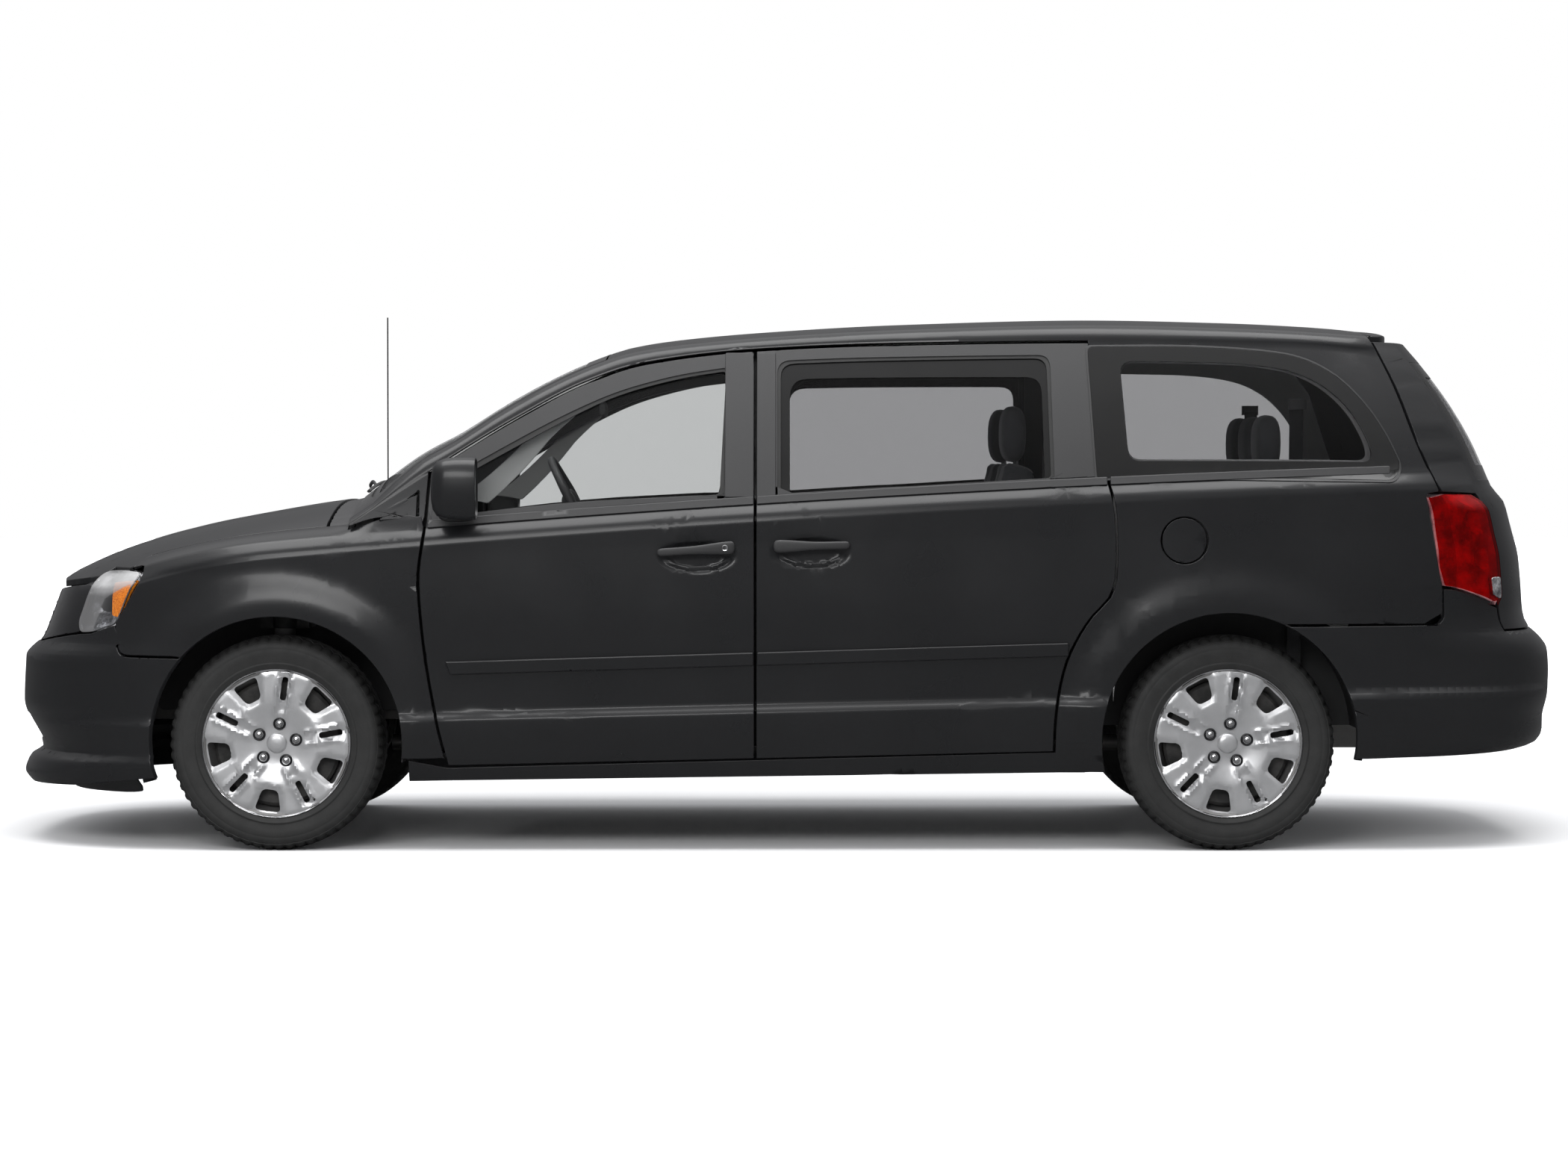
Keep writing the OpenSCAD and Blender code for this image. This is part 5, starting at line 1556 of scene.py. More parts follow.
gate_half = [(GATE_TURN - 0.5, GATE_LOW), (GATE_TURN - 0.5, 1148), (GATE_TURN, 1156),
             *[(tail_turn(RA + x, z), z) for x, z in [(694, 1162), (656, 1240), (624, 1310), (592, 1410),
                                                      (560, 1500), (524, 1580), (500, 1632),
                                                      (491, GATE_TOP)]]]
gate_rows = steps(GATE_LOW, GATE_TOP, 36) + [838, 846, 1006, 1014]
end_panel("tailgate_skin", "tailgate", "paint", PAINT, both_turns(gate_half), [gate_window()],
          (gate_relief, 34), on_tail, gate_rows, sorted(GATE_CUTS + across_gate([160, 168, 176])),
          ["tailgate"])
end_panel("tailgate_pane", "tailgate", "tinted_glass", TINTED_GLASS, gate_window(-6), [], (2, 7), on_tail,
          steps(1200, 1580, 8), GATE_CUTS, ["tailgate_glass"], 0)
end_panel("tailgate_border", "tailgate", "tinted_glass", DARK_BORDER, gate_window(-3), [gate_window(48)],
          (0.8, 1.8), on_tail, steps(1200, 1580, 8), GATE_CUTS, (), 0.4)

# %% Plate, handle strip and wiper
PLATE_WHITE = finish("blank plate", grain_pattern((0.50, 0.51, 0.52), (0.60, 0.61, 0.62), 60, 0.0002),
                     Metallic=0.2)
end_panel("plate", "tailgate", "black_plastic", PLATE_WHITE, gate_box(152, 850, 1002, 0.1),
          [gate_box(142, 860, 992, 0.1)], (9, 12.5), on_tail, steps(850, 1002, 4),
          across_gate(steps(20, 140, 5)), (), 1)
end_panel("plate_middle", "tailgate", "black_plastic", PLATE_WHITE, gate_box(143, 859, 993, 0.1), [],
          (10.4, 12.5), on_tail, steps(860, 992, 4), across_gate(steps(20, 130, 5)), (), 0.6)
end_panel("handle_strip", "tailgate", "black_plastic", GLOSS_BLACK, gate_box(300, 1024, 1066), [], (-12, 6),
          on_tail, steps(1028, 1062, 4), across_gate(steps(20, 290, 10)), (), 6)
for i, y in enumerate((-89, 89)):
    centre = on_tail(math.copysign(gate_turn(y, 915), y), 915, 9)
    rings = [oval(centre + Vector((out, 0, 0)), r, r, n=14)
             for out, r in ((-6, 6), (1.5, 6), (3, 4.6), (3.6, 1.5))]
    attach(finish_mesh(loft(rings), f"plate_screw_{i}", CHROME), "tailgate", "black_plastic")
wiper_path = [(10, 1212), (60, 1222), (160, 1240), (300, 1256), (420, 1262)]
rings = []
for i, (y, z) in enumerate(wiper_path):
    centre = on_tail(gate_turn(y, z), z, -13)
    rings.append(oval(centre, 6 - i * 0.5, 10 - i * 1.4, (1, 0, 0), power=2.6, n=12))
attach(finish_mesh(loft(rings), "rear_wiper_arm", TRIM), "tailgate", "black_plastic")
rings = [oval(on_tail(gate_turn(y, 1262), 1250 + y * 0.028, -7), 5, 6, (1, 0, 0), n=10)
         for y in steps(150, 560, 8)]
attach(finish_mesh(loft(rings), "rear_wiper_blade", RUBBER), "tailgate", "black_plastic")

# %% Roof spoiler and high stop lamp
SPOILER_TIP = RA + 546


def spoiler_half(x):
    return edge_y(x) - 10 - 40 * smooth((x - SPOILER_TIP + 40) / 40) ** 3


spoiler_xs = steps(ROOF_END + 6, SPOILER_TIP, 7)
bm = blank(both_edges(spoiler_xs, spoiler_half), [], spoiler_xs[1:-1], steps(-760, 760, 60))
press(bm, on_top, lambda x, y: -4 * smooth((x - ROOF_END) / 70),
      lambda x, y: 48 + 22 * smooth((SPOILER_TIP - x) / 50))
attach(finish_mesh(bm, "roof_spoiler", PAINT, 6), "tailgate", "paint")
stop = [oval((SPOILER_TIP - 3, y, top_z(SPOILER_TIP, 0) - 24), 7, 8, (1, 0, 0), power=3, n=12)
        for y in steps(-150, 150, 12)]
attach(finish_mesh(loft(stop), "high_stop_lamp", RED_BODY, 1), "tailgate", "tail_lamp")
print("tailgate is", round(GATE_TOP - GATE_LOW), "mm high below the spoiler")

# %% [markdown]
# ## Mirrors, fuel flap and wipers
# A mirror housing is a loft of rounded squares that grow quickly from its nose, with the glass set
# into its open back. Its foot runs to the door, and all of it rides on the door.

# %% Mirrors
MIRROR_Y, MIRROR_Z = -1058, 1172
SHELL = [(-1127, 22, 38), (-1122, 42, 66), (-1108, 57, 88), (-1080, 65, 98), (-1045, 67, 101),
         (-1005, 67, 101), (-985, 65, 99)]
MIRROR_GLASS = finish("mirror glass", metal_pattern((0.70, 0.71, 0.72), (0.78, 0.79, 0.80), 3, 0.02, 0.04),
                      Metallic=1.0)


def both_hands(bm, name, material, body, slot, node=None, bevel=0):
    """A left piece and its mirrored copy."""
    for hand, mesh in (("right", mirrored(bm.copy())), ("left", bm)):
        nodes = [node.format(hand)] if node else []
        attach(finish_mesh(mesh, f"{name}_{hand}", material, bevel), body.format(hand), slot, *nodes)


housing = [oval((x, MIRROR_Y, MIRROR_Z), b, c, power=2.9, n=36) for x, b, c in SHELL]
lip = [oval((x, MIRROR_Y, MIRROR_Z), b, c, power=2.9, n=36) for x, b, c in ((-983, 61, 95), (-990, 60, 94))]
both_hands(loft(housing + lip), "mirror_shell", PAINT, "front_door_{}", "paint", "mirror_{}")
pane_rings = [oval((x, MIRROR_Y, MIRROR_Z), 58 - e, 92 - e, power=2.9, n=36)
              for x, e in ((-992, 0), (-988, 0), (-986.5, 2))]
both_hands(loft(pane_rings), "mirror_glass", MIRROR_GLASS, "front_door_{}", "black_plastic")
foot = [oval((-1060 + 0.1 * (y + 1010), y, 1086 + 0.12 * (y + 1010)), a, b, (1, 0, 0), power=3, n=24)
        for y, a, b in ((-1040, 30, 14), (-1025, 40, 17), (-990, 46, 19), (-960, 54, 24), (-944, 62, 30))]
both_hands(loft(foot), "mirror_foot", TRIM, "front_door_{}", "black_plastic")
sail = rounded([(X_DOOR + 20, belt(X_DOOR) + 20, 4), (X_DOOR + 84, belt(X_DOOR) + 20, 4),
                (X_DOOR + 84, up(0.15), 6), (X_DOOR + 30, up(0.07), 6)], 6)
side_panels("mirror_sail", "front_door_{}", "black_plastic", TRIM, sail, (), (-3, 1), 30, (), 1.5,
            low_rows=FEW_ROWS)

# %% Fuel flap


def flap_notch(x, w):
    """A thumb notch at the rear edge of the flap."""
    return 7 * smooth((26 - math.hypot(x - FLAP_X - FLAP_R, (height(x, w) - FLAP_Z) * 0.8)) / 16)


disc_outline = [(x, level(x, z)) for x, z in arc(FLAP_X, FLAP_Z, FLAP_R, 0, 354, 59)]
middle = level(FLAP_X, FLAP_Z)
bm = blank(disc_outline, [], steps(FLAP_X - 70, FLAP_X + 70, 22), steps(middle - 70, middle + 70, 22))
attach(finish_mesh(press(bm, on_side, flap_notch, 9), "fuel_flap_skin", PAINT, 1.4), "fuel_flap", "paint",
       "fuel_flap")
flap_y = FLAP_Y
cup_rings = [oval((FLAP_X, flap_y + y, FLAP_Z), r, r, (1, 0, 0), n=40)
             for y, r in ((12, FLAP_R + 6), (62, FLAP_R + 2), (62, 20), (58, 20), (58, FLAP_R - 2),
                          (12, FLAP_R + 3))]
cup = loft(cup_rings + cup_rings[:1], False)
bmesh.ops.remove_doubles(cup, verts=cup.verts[:], dist=0.01)
attach(finish_mesh(cup, "filler_cup", TRIM), "root", "black_plastic")
cap_rings = [oval((FLAP_X, flap_y + y, FLAP_Z), r, r, (1, 0, 0), n=24)
             for y, r in ((60, 34), (34, 34), (28, 30), (26, 8))]
attach(finish_mesh(loft(cap_rings), "filler_cap", TRIM), "root", "black_plastic")

# %% Windshield wipers
WIPERS = [(-560, 60), (90, 620)]
for i, (y0, y1) in enumerate(WIPERS):
    blade = []
    for y in steps(y0, y1, 12):
        x = COWL_X + 36 + 10 * math.sin((y - y0) / (y1 - y0) * 3)
        blade.append(oval((x, y, top_z(COWL_X + 40, y) + 12), 7, 5, (1, 0, 0), n=10))
    attach(finish_mesh(loft(blade), f"wiper_blade_{i}", RUBBER), "root", "black_plastic")
    arm = []
    for t in steps(0, 1, 8):
        z = top_z(COWL_X + 20, 0) + 14 + 12 * math.sin(3.1 * t)
        centre = (COWL_X - 20 + t * 52, y1 - 20 + (y0 - y1) * 0.52 * t, z)
        arm.append(oval(centre, 5, 9 - 4 * t, (1, 0, 0), n=12))
    attach(finish_mesh(loft(arm), f"wiper_arm_{i}", TRIM), "root", "black_plastic")

# %% [markdown]
# ## Frames behind the gaps
# A real body has a door frame, a hinge pillar and a turned-in wheel arch behind each gap. Without
# them the light of the far side shines through, so they are pressed too, deeper in.

# %% Door frames and hinge pillars


def frame_depth(x, w):
    return 128 - 74 * smooth((w - BELT + 40) / 60)


def frame_back(x, w):
    return frame_depth(x, w) + 40 + 20 * smooth((BELT - w) / 60)


side_panels("front_door_frame", "root", "paint", PAINT, front_door_outline(-30), [front_door_outline(60)],
            (frame_depth, frame_back), 70, (), 0)
side_panels("sliding_door_frame", "root", "paint", PAINT, slide_door_outline(-30), [slide_door_outline(60)],
            (frame_depth, frame_back), 70, (), 0)
pillar = [(FA + 425, 300), (X_DOOR + 110, 290), (X_DOOR + 60, 600), (X_DOOR + 40, 1090), (FA + 425, 1090)]
side_panels("hinge_pillar", "root", "paint", PAINT, pillar, (), (140, 160), 60, (), 3)
ledge = [(FA + 438, 258), (RA - 440, 290), (RA - 440, sill_top(RA - 500) + 40),
         (FA + 438, sill_top(X_DOOR) + 40)]
side_panels("sill_box", "root", "paint", PAINT, ledge, (), (70, 110), 90, (), 3)

corner = [(RA + 540, 690), (RA + 730, 690), (RA + 730, 870), (RA + 540, 870)]
side_panels("quarter_backing", "root", "paint", PAINT, corner, (), (60, 70), 60, (), 2)

# %% Turned-in wheel arches and the wall inside the front ones
wall = [(FA - 450, 430), (FA + 440, 430), (FA + 440, 790), (FA - 450, 790)]
bm = blank(rounded(wall, 30), [], steps(FA - 400, FA + 400, 6), [500, 600, 700])
press(bm, lambda x, z, depth: Vector((x, depth - 484, z)), lambda x, z: 4 * math.sin(x / 40) ** 8, 6)
both_hands(bm, "front_wheel_wall", TRIM, "root", "black_plastic", bevel=2)


def arch_return(name, x0, z0, angles, cross):
    """A thin strip round a wheel arch. The cross-section is (radius, distance in from the skin)."""
    rings = []
    for a in angles:
        c, s = math.cos(math.radians(a)), math.sin(math.radians(a))
        ring = []
        for r, inwards in cross:
            x, z = x0 + r * c, z0 + r * s
            skin = side(x0 + ARCH_R * c, max(z0 + ARCH_R * s, 200))
            ring.append((x, -skin + inwards if inwards < 60 else -HALF + inwards, z))
        rings.append(ring)
    both_hands(loft(rings), name, TRIM, "root", "black_plastic")


arch_return("front_arch_lip", FA, WHEEL_Z, steps(-8, 197, 60),
            [(412.5, 8), (414, 125), (462, 133), (462, 137), (418, 131), (416.5, 8)])
arch_return("rear_arch_lip", RA, WHEEL_Z + ARCH_LIFT, steps(-9, ARCH_END, 60),
            [(412.5, 8), (413, 50), (440, 60), (440, 64), (416, 55), (416.5, 8)])
print("frames are in")

# %% [markdown]
# ## Cabin
# What shows through the glass is seats, trims and the dashboard. The seats are padded covers: a cushion
# is a blank pressed on the seat's own slant, with a crown, side bolsters, sewn grooves and sides that
# pull in between the corners. A real cover is flat only where it rests on the frame.

# %% Cabin materials


def cloth_pattern(dark, light, pitch=340):
    """Woven cloth: a fine crossed weave under a slow change of colour."""
    def pattern(place):
        weave = place.cells(pitch).ramp(0.15, 0.8)
        worn = place.noise(5, 4, 0.6).ramp(0.35, 0.7)
        return {
            "Base_Color": (weave * 0.6 + worn * 0.4).mix(dark, light),
            "Roughness": worn * 0.12 + 0.82,
            "Normal": place.cells(pitch).bump(0.0006, 0.6),
        }
    return pattern


SEAT_CLOTH = finish("seat cloth", cloth_pattern((0.045, 0.046, 0.05), (0.105, 0.107, 0.112)),
                    Sheen_Weight=0.25, Specular_IOR_Level=0.2)
SEAT_SIDE = finish("seat side cloth", cloth_pattern((0.022, 0.022, 0.024), (0.05, 0.05, 0.053), 520),
                   Sheen_Weight=0.2, Specular_IOR_Level=0.2)
HEADLINING = finish("headlining", cloth_pattern((0.40, 0.395, 0.385), (0.52, 0.515, 0.50), 600),
                    Specular_IOR_Level=0.1)
CARPET = finish("carpet", cloth_pattern((0.015, 0.015, 0.016), (0.055, 0.055, 0.057), 260),
                Specular_IOR_Level=0.05)
PALE_TRIM = finish("pale interior plastic",
                   grain_pattern((0.27, 0.27, 0.265), (0.36, 0.36, 0.355), 420, 0.0002))
DARK_TRIM = finish("dark interior plastic",
                   grain_pattern((0.020, 0.020, 0.021), (0.042, 0.042, 0.044), 420, 0.0002))
WEBBING = finish("belt webbing", cloth_pattern((0.012, 0.012, 0.013), (0.035, 0.035, 0.036), 700),
                 Specular_IOR_Level=0.15)

# %% Cover of a cushion or a backrest
SEAT_Z = 690
FLOOR = 420


def cushion_place(x0, y0):
    """The seat's top, from its front edge backwards. u runs back, v across."""
    def place(u, v, depth):
        return Vector((x0 + 14 + u, y0 + v, SEAT_Z + 92 - 0.07 * u - depth))
    return place


def back_place(x0, y0, back_height):
    """The front of the backrest. u runs up its slant, v across."""
    lean = Vector((120, 0, back_height - 60)).normalized()
    out = Vector((lean.z, 0, -lean.x))

    def place(u, v, depth):
        return Vector((x0 + 446, y0, SEAT_Z + 62)) + lean * u + out * depth + Vector((0, v, 0))
    return place


def pulled_in(length, wide, radius, pull=9):
    """A rounded oblong whose sides pull in between the corners."""
    half = wide / 2
    front = [(pull * (1 - abs(v) / half) * 0.6, v * 1.0) for v in steps(-half * 0.8, half * 0.8, 6)]
    sides = [(u, half - pull * math.sin(math.pi * u / length)) for u in steps(0.1 * length, 0.9 * length, 6)]
    corners = [(0, half, radius)]
    outline = [(0, -half, radius), *front, *corners, *sides, (length, half, radius), (length, -half, radius)]
    outline += [(u, -v) for u, v in reversed(sides)]
    return rounded([p if len(p) > 2 else (*p, 4) for p in outline], radius, 4)


def crowned(length, wide, seats, roll):
    """Depth of a cover: bolsters, seams beside them, sewn grooves and a rolled front edge."""
    each = wide / seats

    def depth(u, v):
        local = abs(((v + wide / 2) % each) - each / 2) / (each / 2)
        edge = 1 - clamp(abs(2 * u / length - 1)) ** 4
        bolster = -15 * smooth((local - 0.66) / 0.16) * smooth((1.06 - local) / 0.2)
        seam = 7 * math.exp(-((local - 0.64) * each / 2 / 5) ** 2)
        grooves = sum(5 * math.exp(-((u - length * share) / 5) ** 2)
                      for share in (0.28, 0.72)) * (local < 0.64)
        crown = -12 * edge * (1 - local ** 2)
        rolled = roll * smooth((70 - u) / 70) ** 2
        side_roll = 26 * smooth((local - 0.86) / 0.14) ** 2
        return 12 + crown + bolster + seam + grooves + rolled + side_roll
    return depth


def cover(name, place, length, wide, thick, seats, roll, node):
    middles = [(i + 0.5) * wide / seats - wide / 2 for i in range(seats)]
    seams = [middle + sign * 0.32 * wide / seats for middle in middles for sign in (-1, 1)]
    fine_v = [s + d for s in seams for d in (-7, 0, 7)]
    fine_u = [length * share + d for share in (0.28, 0.72) for d in (-7, 0, 7)]
    bm = blank(pulled_in(length, wide, 46), [], steps(14, length - 14, 8) + fine_u,
               steps(-wide / 2 + 16, wide / 2 - 16, round(wide / 62)) + fine_v)
    press(bm, place, crowned(length, wide, seats, roll), thick)
    piece = attach(finish_mesh(bm, name, SEAT_CLOTH, 14, 50, 1), "root", "seat_fabric", node)
    piping = piece.modifiers.new("soften", "SUBSURF")
    piping.levels = piping.render_levels = 1
    return piece


# %% Head restraint, frame and a whole seat


def head_restraint(name, x, y, z, node):
    sizes = [(-124, 18, 50), (-119, 30, 68), (-104, 38, 84), (-70, 42, 91), (0, 44, 94), (70, 42, 91),
             (104, 38, 84), (119, 30, 68), (124, 18, 50)]
    rings = [oval((x - 6, y + v, z), a, b, (1, 0, 0), power=2.7, n=24) for v, a, b in sizes]
    piece = attach(finish_mesh(loft(rings), name, SEAT_CLOTH), "root", "seat_fabric", node)
    for i, v in enumerate((-62, 62)):
        post = [oval((x + 4 - 0.1 * lift, y + v, z - 80 + lift), 6, 6, (1, 0, 0), (0, 1, 0), n=12)
                for lift in (-60, 10)]
        attach(finish_mesh(loft(post), f"{name}_post_{i}", CHROME), "root", "seat_fabric")


def whole_seat(name, x, y, wide, back_height, foot, seats, node):
    cover(name + "_cushion", cushion_place(x, y), 456, wide - 6, 86, seats, 46, node)
    cover(name + "_back", back_place(x, y, back_height), back_height - 48, wide - 10, 98, seats, 0, node)
    shell = blank(rounded([(30, -wide / 2 + 20), (back_height - 70, -wide / 2 + 34),
                           (back_height - 70, wide / 2 - 34), (30, wide / 2 - 20)], 50), [],
                           steps(60, back_height - 90, 8), steps(-wide / 2 + 50, wide / 2 - 50, 8))
    press(shell, back_place(x, y, back_height), 90, lambda u, v: 112 - 10 * (2 * v / wide) ** 2)
    attach(finish_mesh(shell, name + "_shell", SEAT_SIDE, 6), "root", "seat_fabric")
    low = [oval((x + 290, y, FLOOR + lift), a, wide / 2 - inset, (1, 0, 0), (0, 1, 0), power=5, n=40)
           for lift, a, inset in ((2, 205, 66), (40, 200, 70), (foot - 20, 205, 40), (foot + 40, 262, 16),
                                  (foot + 92, 270, 12))]
    attach(finish_mesh(loft(low), name + "_frame", DARK_TRIM), "root", "interior_plastic")
    for i in range(seats):
        middle = y + (i + 0.5) * wide / seats - wide / 2
        head_restraint(f"{name}_head_{i}", x + 606, middle, SEAT_Z + back_height + 92, node)


for hand, sign in LEFT_RIGHT:
    whole_seat(f"front_seat_{hand}", X_DOOR + 400, -370 * sign, 500, 590, 200, 1, "front_seats")
    whole_seat(f"middle_seat_{hand}", X_PILLAR + 260, -370 * sign, 480, 570, 200, 1, "rear_seats")
whole_seat("rear_bench", RA - 420, 0, 1180, 540, 160, 3, "rear_seats")
print("seats are covered")

# %% [markdown]
# ### Trims
# The headlining hangs under the roof. Door trims are pressed inside the skins in dark plastic, and the
# quarter and pillar trims are pale, as through the far windows of the real van.

# %% Headlining, carpet, door and quarter trims


def lining_half(x):
    return edge_y(x) - 66


lining_xs = steps(HEADER_X + 26, ROOF_END - 40, 24)
bm = blank(both_edges(lining_xs, lining_half), [], lining_xs[1:-1], steps(-800, 800, 20))
attach(finish_mesh(press(bm, on_top, 52, 60), "headlining", HEADLINING, 2), "root", "interior_plastic")
bm = blank(rounded([(X_DOOR + 60, -770), (RA - 460, -770), (RA - 460, -600), (RA + 640, -600),
                    (RA + 640, 600), (RA - 460, 600), (RA - 460, 770), (X_DOOR + 60, 770)], 60), [],
                    steps(X_DOOR + 100, RA + 600, 40),
           steps(-740, 740, 20))
press(bm, lambda x, y, depth: Vector((x, y, FLOOR + 1 + depth)),
      lambda x, y: 9 + 2 * math.sin(x / 60) * math.sin(y / 80), 0)
attach(finish_mesh(bm, "carpet", CARPET, 3), "root", "interior_plastic")


def behind_door(x, w):
    return door_depth(x, w) + 3


def trim_face(x, w):
    """Face of the door trim, with an armrest ledge and a pocket."""
    z = height(x, w)
    armrest = 34 * math.exp(-((z - 905) / 34) ** 2)
    pocket = -5 * smooth((620 - z) / 30)
    return door_depth(x, w) + 16 + (armrest + pocket) * smooth((BELT - w) / 60)


for name, body, outline, window in (("front_door_trim", "front_door_{}", front_door_outline(26),
                                     front_window(-8)),
                                    ("sliding_door_trim", "root", slide_door_outline(26), slide_window(-8))):
    side_panels(name, body, "interior_plastic", DARK_TRIM, outline, [window], (behind_door, trim_face), 60,
                (), 0)
quarter_out = [(RA - 372, 470), (RA - 372, belt(RA) + 20), (RA - 420, up(0.85)),
               *[(x, door_top(x) - 6) for x in steps(RA - 380, RA + 380, 8)], (RA + 470, up(0.62)),
               (RA + 560, belt(RA + 560) + 40), (RA + 600, 760), (RA + 400, 760), (RA + 380, 700),
               (RA + 250, 770), (RA, 800), (RA - 250, 760), (RA - 360, 600)]
quarter_hole = [(1490 + (x - 1490) * 0.98, 1425 + (z - 1425) * 0.97) for x, z in QUARTER_CLEAR]
side_panels("quarter_lining", "root", "interior_plastic", PALE_TRIM, quarter_out, [quarter_hole], (70, 84),
            60, (), 2)
pillar_trim = rounded([(X_DOOR + 104, belt(X_DOOR) + 96, 8), (FA + 900, up(0.50), 40),
                       (FA + 1060, up(0.70), 10), (FA + 1060, up(0.60), 10), (FA + 905, up(0.38), 40),
                       (X_DOOR + 200, belt(X_DOOR) + 80, 8)], 8)
side_panels("windshield_pillar_trim", "root", "interior_plastic", PALE_TRIM, pillar_trim, (), (60, 72), 50,
            (), 3)
for name, x0, x1 in (("centre_pillar_trim", X_PILLAR - 60, X_PILLAR + 62),
                     ("rear_pillar_trim", RA - 500, RA - 400)):
    post = rounded([(x0, 480), (x1, 480), (x1 - 10, up(0.9)), (x0 + 10, up(0.9))], 10, 2)
    side_panels(name, "root", "interior_plastic", PALE_TRIM, post, (), (140, 152), 40, (), 4)

# %% Seat belts
BELTS = [(X_PILLAR + 20, X_PILLAR + 10), (RA - 440, RA - 450), (RA + 250, RA + 240)]
BELT_Y, BELT_TOP, BELT_FOOT = -690, 1440, 520
for hand, sign in LEFT_RIGHT:
    for i, (x, foot_x) in enumerate(BELTS):
        rings = []
        for t in steps(0, 1, 8):
            y, z = BELT_Y + 30 * math.cos(t * 1.5), BELT_TOP - t * (BELT_TOP - BELT_FOOT)
            rings.append(oval(Vector((x + (foot_x - x) * t, sign * y, z)), 23, 1.2, (1, 0, 0), (0, 1, 0),
                              power=4, n=12))
        attach(finish_mesh(loft(rings), f"seat_belt_{i}_{hand}", WEBBING), "root", "seat_fabric")
        ring = [oval((x, sign * BELT_Y, BELT_TOP + lift), 30, 8, (1, 0, 0), (0, 1, 0), power=3, n=20)
                for lift in (-10, -4, 18, 24)]
        attach(finish_mesh(loft(ring), f"belt_ring_{i}_{hand}", DARK_TRIM, 1), "root", "interior_plastic")

# %% [markdown]
# ### Dashboard and steering wheel
# The dashboard is one loft across the car, thicker in front of the driver. The steering wheel turns with
# its own body, so it is built flat round the column's axis and then tilted.

# %% Dashboard


def dash_ring(y):
    """Cross-section of the dashboard at y."""
    hood = 34 * math.exp(-((y + 370) / 150) ** 4)
    stack = 14 * smooth((210 - abs(y)) / 40)
    points = [(FA + 292, 826), (FA + 292, 978), (FA + 366, 1022), (FA + 520, 1040 + hood * 0.8),
              (FA + 600, 1036 + hood), (FA + 648 + stack, 1016 + hood), (FA + 668 + stack, 985),
              (FA + 660 + stack, 905), (FA + 640 + stack, 840), (FA + 598, 826)]
    return [(x, y, z) for x, z in rounded([(*p, 14) for p in points], 14, 3)]


ys = steps(-728, 728, 56)
attach(finish_mesh(loft([dash_ring(y) for y in ys]), "dashboard_top", DARK_TRIM, 0, 50), "root",
       "interior_plastic", "dashboard")
VENT = (965, 42, 30)
DASH_FACES = {"screen": (0, 955, 92, 44), "vent_left": (-150, *VENT), "vent_right": (150, *VENT),
              "vent_driver": (-640, *VENT), "vent_passenger": (640, *VENT), "controls": (0, 880, 96, 26)}
for name, (y, z, wide, high) in DASH_FACES.items():
    in_middle = 14 if abs(y) < 200 else 0
    rings = [oval((FA + out + in_middle, y, z), wide, high, power=6, n=28) for out in (640, 676, 678)]
    attach(finish_mesh(loft(rings), f"dash_{name}", GLOSS_BLACK, 1.5), "root", "interior_plastic")
dials = [oval((FA + out, -370, 1000), wide, 38, power=3.2, n=28)
         for out, wide in ((620, 140), (670, 140), (674, 132))]
attach(finish_mesh(loft(dials), "instrument_cluster", GLOSS_BLACK, 2), "root", "interior_plastic")

# %% Steering wheel
COLUMN = Vector((FA + 943, -370, 1110))
TILT = Matrix.Translation(COLUMN) @ Matrix.Rotation(math.radians(62), 4, "Y")


def on_column(bm):
    bmesh.ops.transform(bm, matrix=TILT, verts=bm.verts[:])
    return bm


rim_path = [(174 * math.cos(t), 174 * math.sin(t)) for t in steps(0, 2 * math.pi, 72)]
rim_rings = []
for i, (x, y) in enumerate(rim_path[:-1]):
    away = Vector((x, y, 0)).normalized()
    thick = 13.5 + 2 * math.exp(-((abs(math.atan2(y, x)) - 1.9) / 0.25) ** 2)
    rim_rings.append(oval((x, y, 0), thick, thick, away, (0, 0, 1), n=14))
rim = loft(rim_rings + rim_rings[:1], False)
bmesh.ops.remove_doubles(rim, verts=rim.verts[:], dist=0.01)
attach(finish_mesh(on_column(rim), "steering_rim", DARK_TRIM), "steering_wheel", "interior_plastic",
       "steering_wheel")
boss = loft([oval((0, 0, z), a, b, (1, 0, 0), (0, 1, 0), power=3, n=36)
             for z, a, b in ((-34, 40, 40), (-26, 50, 50), (0, 62, 66), (12, 60, 64), (18, 48, 54),
                             (20, 20, 24))])
attach(finish_mesh(on_column(boss), "steering_boss", DARK_TRIM), "steering_wheel", "interior_plastic")
for i, turn in enumerate((0, 90, 180)):
    c, s = math.cos(math.radians(turn + 90)), math.sin(math.radians(turn + 90))
    spoke = loft([oval((r * c, r * s, z), w, 6, (-s, c, 0), (0, 0, 1), power=3, n=20)
                  for r, z, w in ((44, 2, 34), (90, -4, 25), (140, -2, 20), (172, 0, 17))])
    attach(finish_mesh(on_column(spoke), f"steering_spoke_{i}", PALE_TRIM if i == 1 else DARK_TRIM),
           "steering_wheel", "interior_plastic")
column = loft([oval((0, 0, z), r, r, (1, 0, 0), (0, 1, 0), n=28)
               for z, r in ((-330, 34), (-200, 38), (-70, 36), (-42, 28))])
attach(finish_mesh(on_column(column), "column_cowl", DARK_TRIM), "root", "interior_plastic")
mirror_rings = [oval((HEADER_X - 40, y, 1440), 10, 30 - abs(y) / 12, (1, 0, 0), power=3, n=20)
                for y in steps(-120, 120, 10)]
attach(finish_mesh(loft(mirror_rings), "inside_mirror", DARK_TRIM), "root", "interior_plastic")

# %% [markdown]
# ## Parts kept from the frame
# The running gear, tank and antenna already have their right shapes, so they only get finishes.

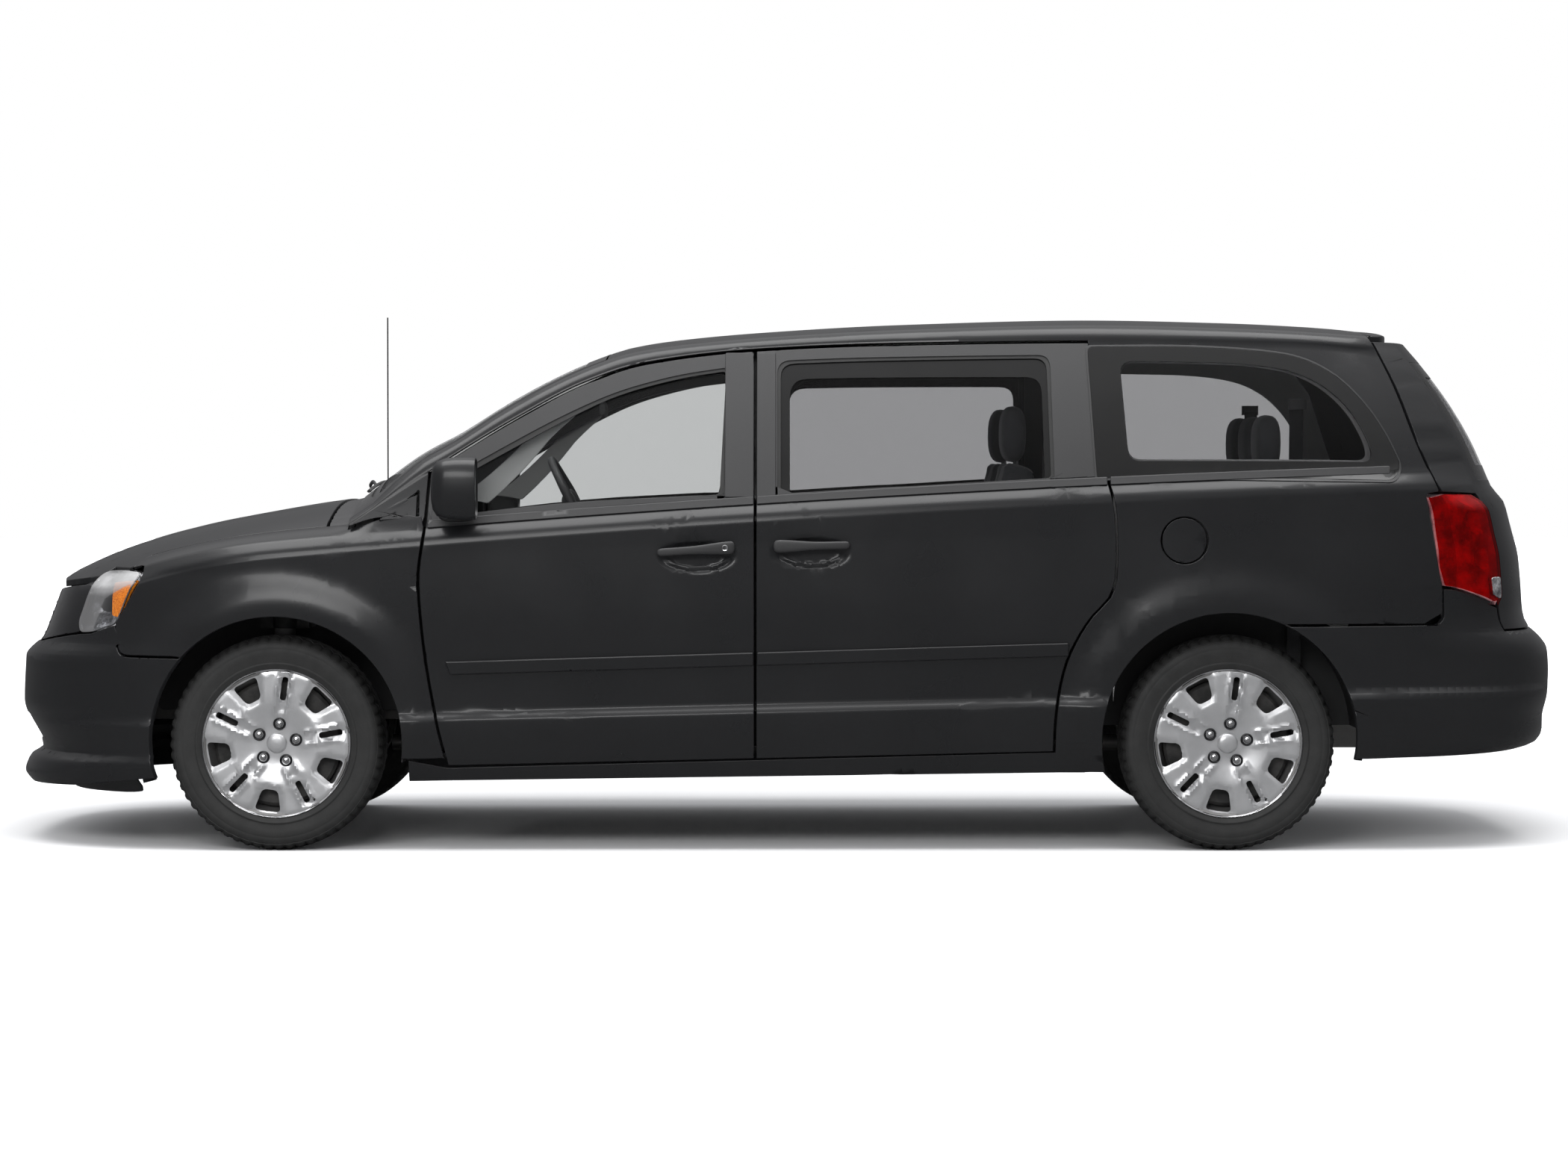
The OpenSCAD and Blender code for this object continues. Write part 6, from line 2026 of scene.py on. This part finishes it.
# %% Finishes for the kept parts
KEPT = {
    "floor_pan": UNDERBODY, "engine_block": CAST, "front_crossmember": UNDERBODY, "rear_axle": UNDERBODY,
    "fuel_tank": TRIM, "exhaust": STEEL, "knuckle_left": CAST, "knuckle_right": CAST, "wheel_liners": TRIM,
    "antenna": GLOSS_BLACK,
}
for node, material in KEPT.items():
    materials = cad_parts[node].data.materials
    if len(materials):
        materials[0] = material
    else:
        materials.append(material)
print(len(KEPT), "parts kept from the frame")

# %% [markdown]
# ## Floor, sky and lamps
# The sky is white to the camera and soft grey to everything it lights. What the paint mirrors is a
# third sky, dark at the horizon and bright overhead, like a studio with one broad panel above. The
# floor is overexposed to white, so only the van's own shadow shows on it.

# %% Floor
bm = bmesh.new()
bmesh.ops.create_grid(bm, x_segments=8, y_segments=8, size=60000)
floor = finish_mesh(bm, "floor", None)


def floor_shader(place):
    """White, but dark in reflections. Far from the van it glows, so that it melts into the sky."""
    path = place.node("ShaderNodeLightPath")
    glossy, seen = [Wire(place.tree, path.outputs[name]) for name in ("Is Glossy Ray", "Is Camera Ray")]
    far = Wire(place.tree, place.node("ShaderNodeVectorMath", {"operation": "LENGTH"},
                                      s0=place).outputs["Value"])
    glow = far.ramp(3.2, 7.5) * seen
    return {
        "Base_Color": (glossy * 0.93).mix((0.88, 0.88, 0.885), (0.05, 0.05, 0.05)),
        "Roughness": place.noise(0.8, 3) * 0.1 + 0.85,
        "Emission_Color": glow.mix((0, 0, 0), (1, 1, 1)),
    }


floor.data.materials.append(finish("floor", floor_shader, Specular_IOR_Level=0.0, Emission_Strength=1.0))

# %% Sky
world = bpy.data.worlds.new("studio")
bpy.context.scene.world = world
world.use_nodes = True
tree = world.node_tree
direction = Wire(tree, tree.nodes.new("ShaderNodeTexCoord").outputs["Generated"])
path = direction.node("ShaderNodeLightPath")
seen = Wire(tree, path.outputs["Is Camera Ray"])
mirrored_sky = Wire(tree, path.outputs["Is Glossy Ray"])
overhead = direction.axis(2).ramp(0.30, 0.95)
panel = overhead.mix((0.20, 0.20, 0.205), (1.5, 1.5, 1.52))
sky = mirrored_sky.mix((0.82, 0.83, 0.85), panel)
sky = seen.mix(sky, (1, 1, 1))
tree.links.new(sky.socket, tree.nodes["Background"].inputs["Color"])
tree.nodes["Background"].inputs["Strength"].default_value = 1.0

# %% Lamps


def area_lamp(name, place, target, size, power):
    data = bpy.data.lights.new(name, "AREA")
    data.shape = "RECTANGLE"
    data.size, data.size_y = size
    data.energy = power
    lamp = bpy.data.objects.new(name, data)
    lamp.location = place
    lamp.rotation_euler = (Vector(target) - Vector(place)).to_track_quat("-Z", "Y").to_euler()
    bpy.context.scene.collection.objects.link(lamp)
    return lamp


area_lamp("overhead", (0, -1.5, 6.5), (0, 0, 0), (9, 4), 650)
area_lamp("side", (-2.5, -9, 4.2), (0, 0, 0.8), (5, 2), 320)
bpy.context.scene.view_settings.view_transform = "Standard"
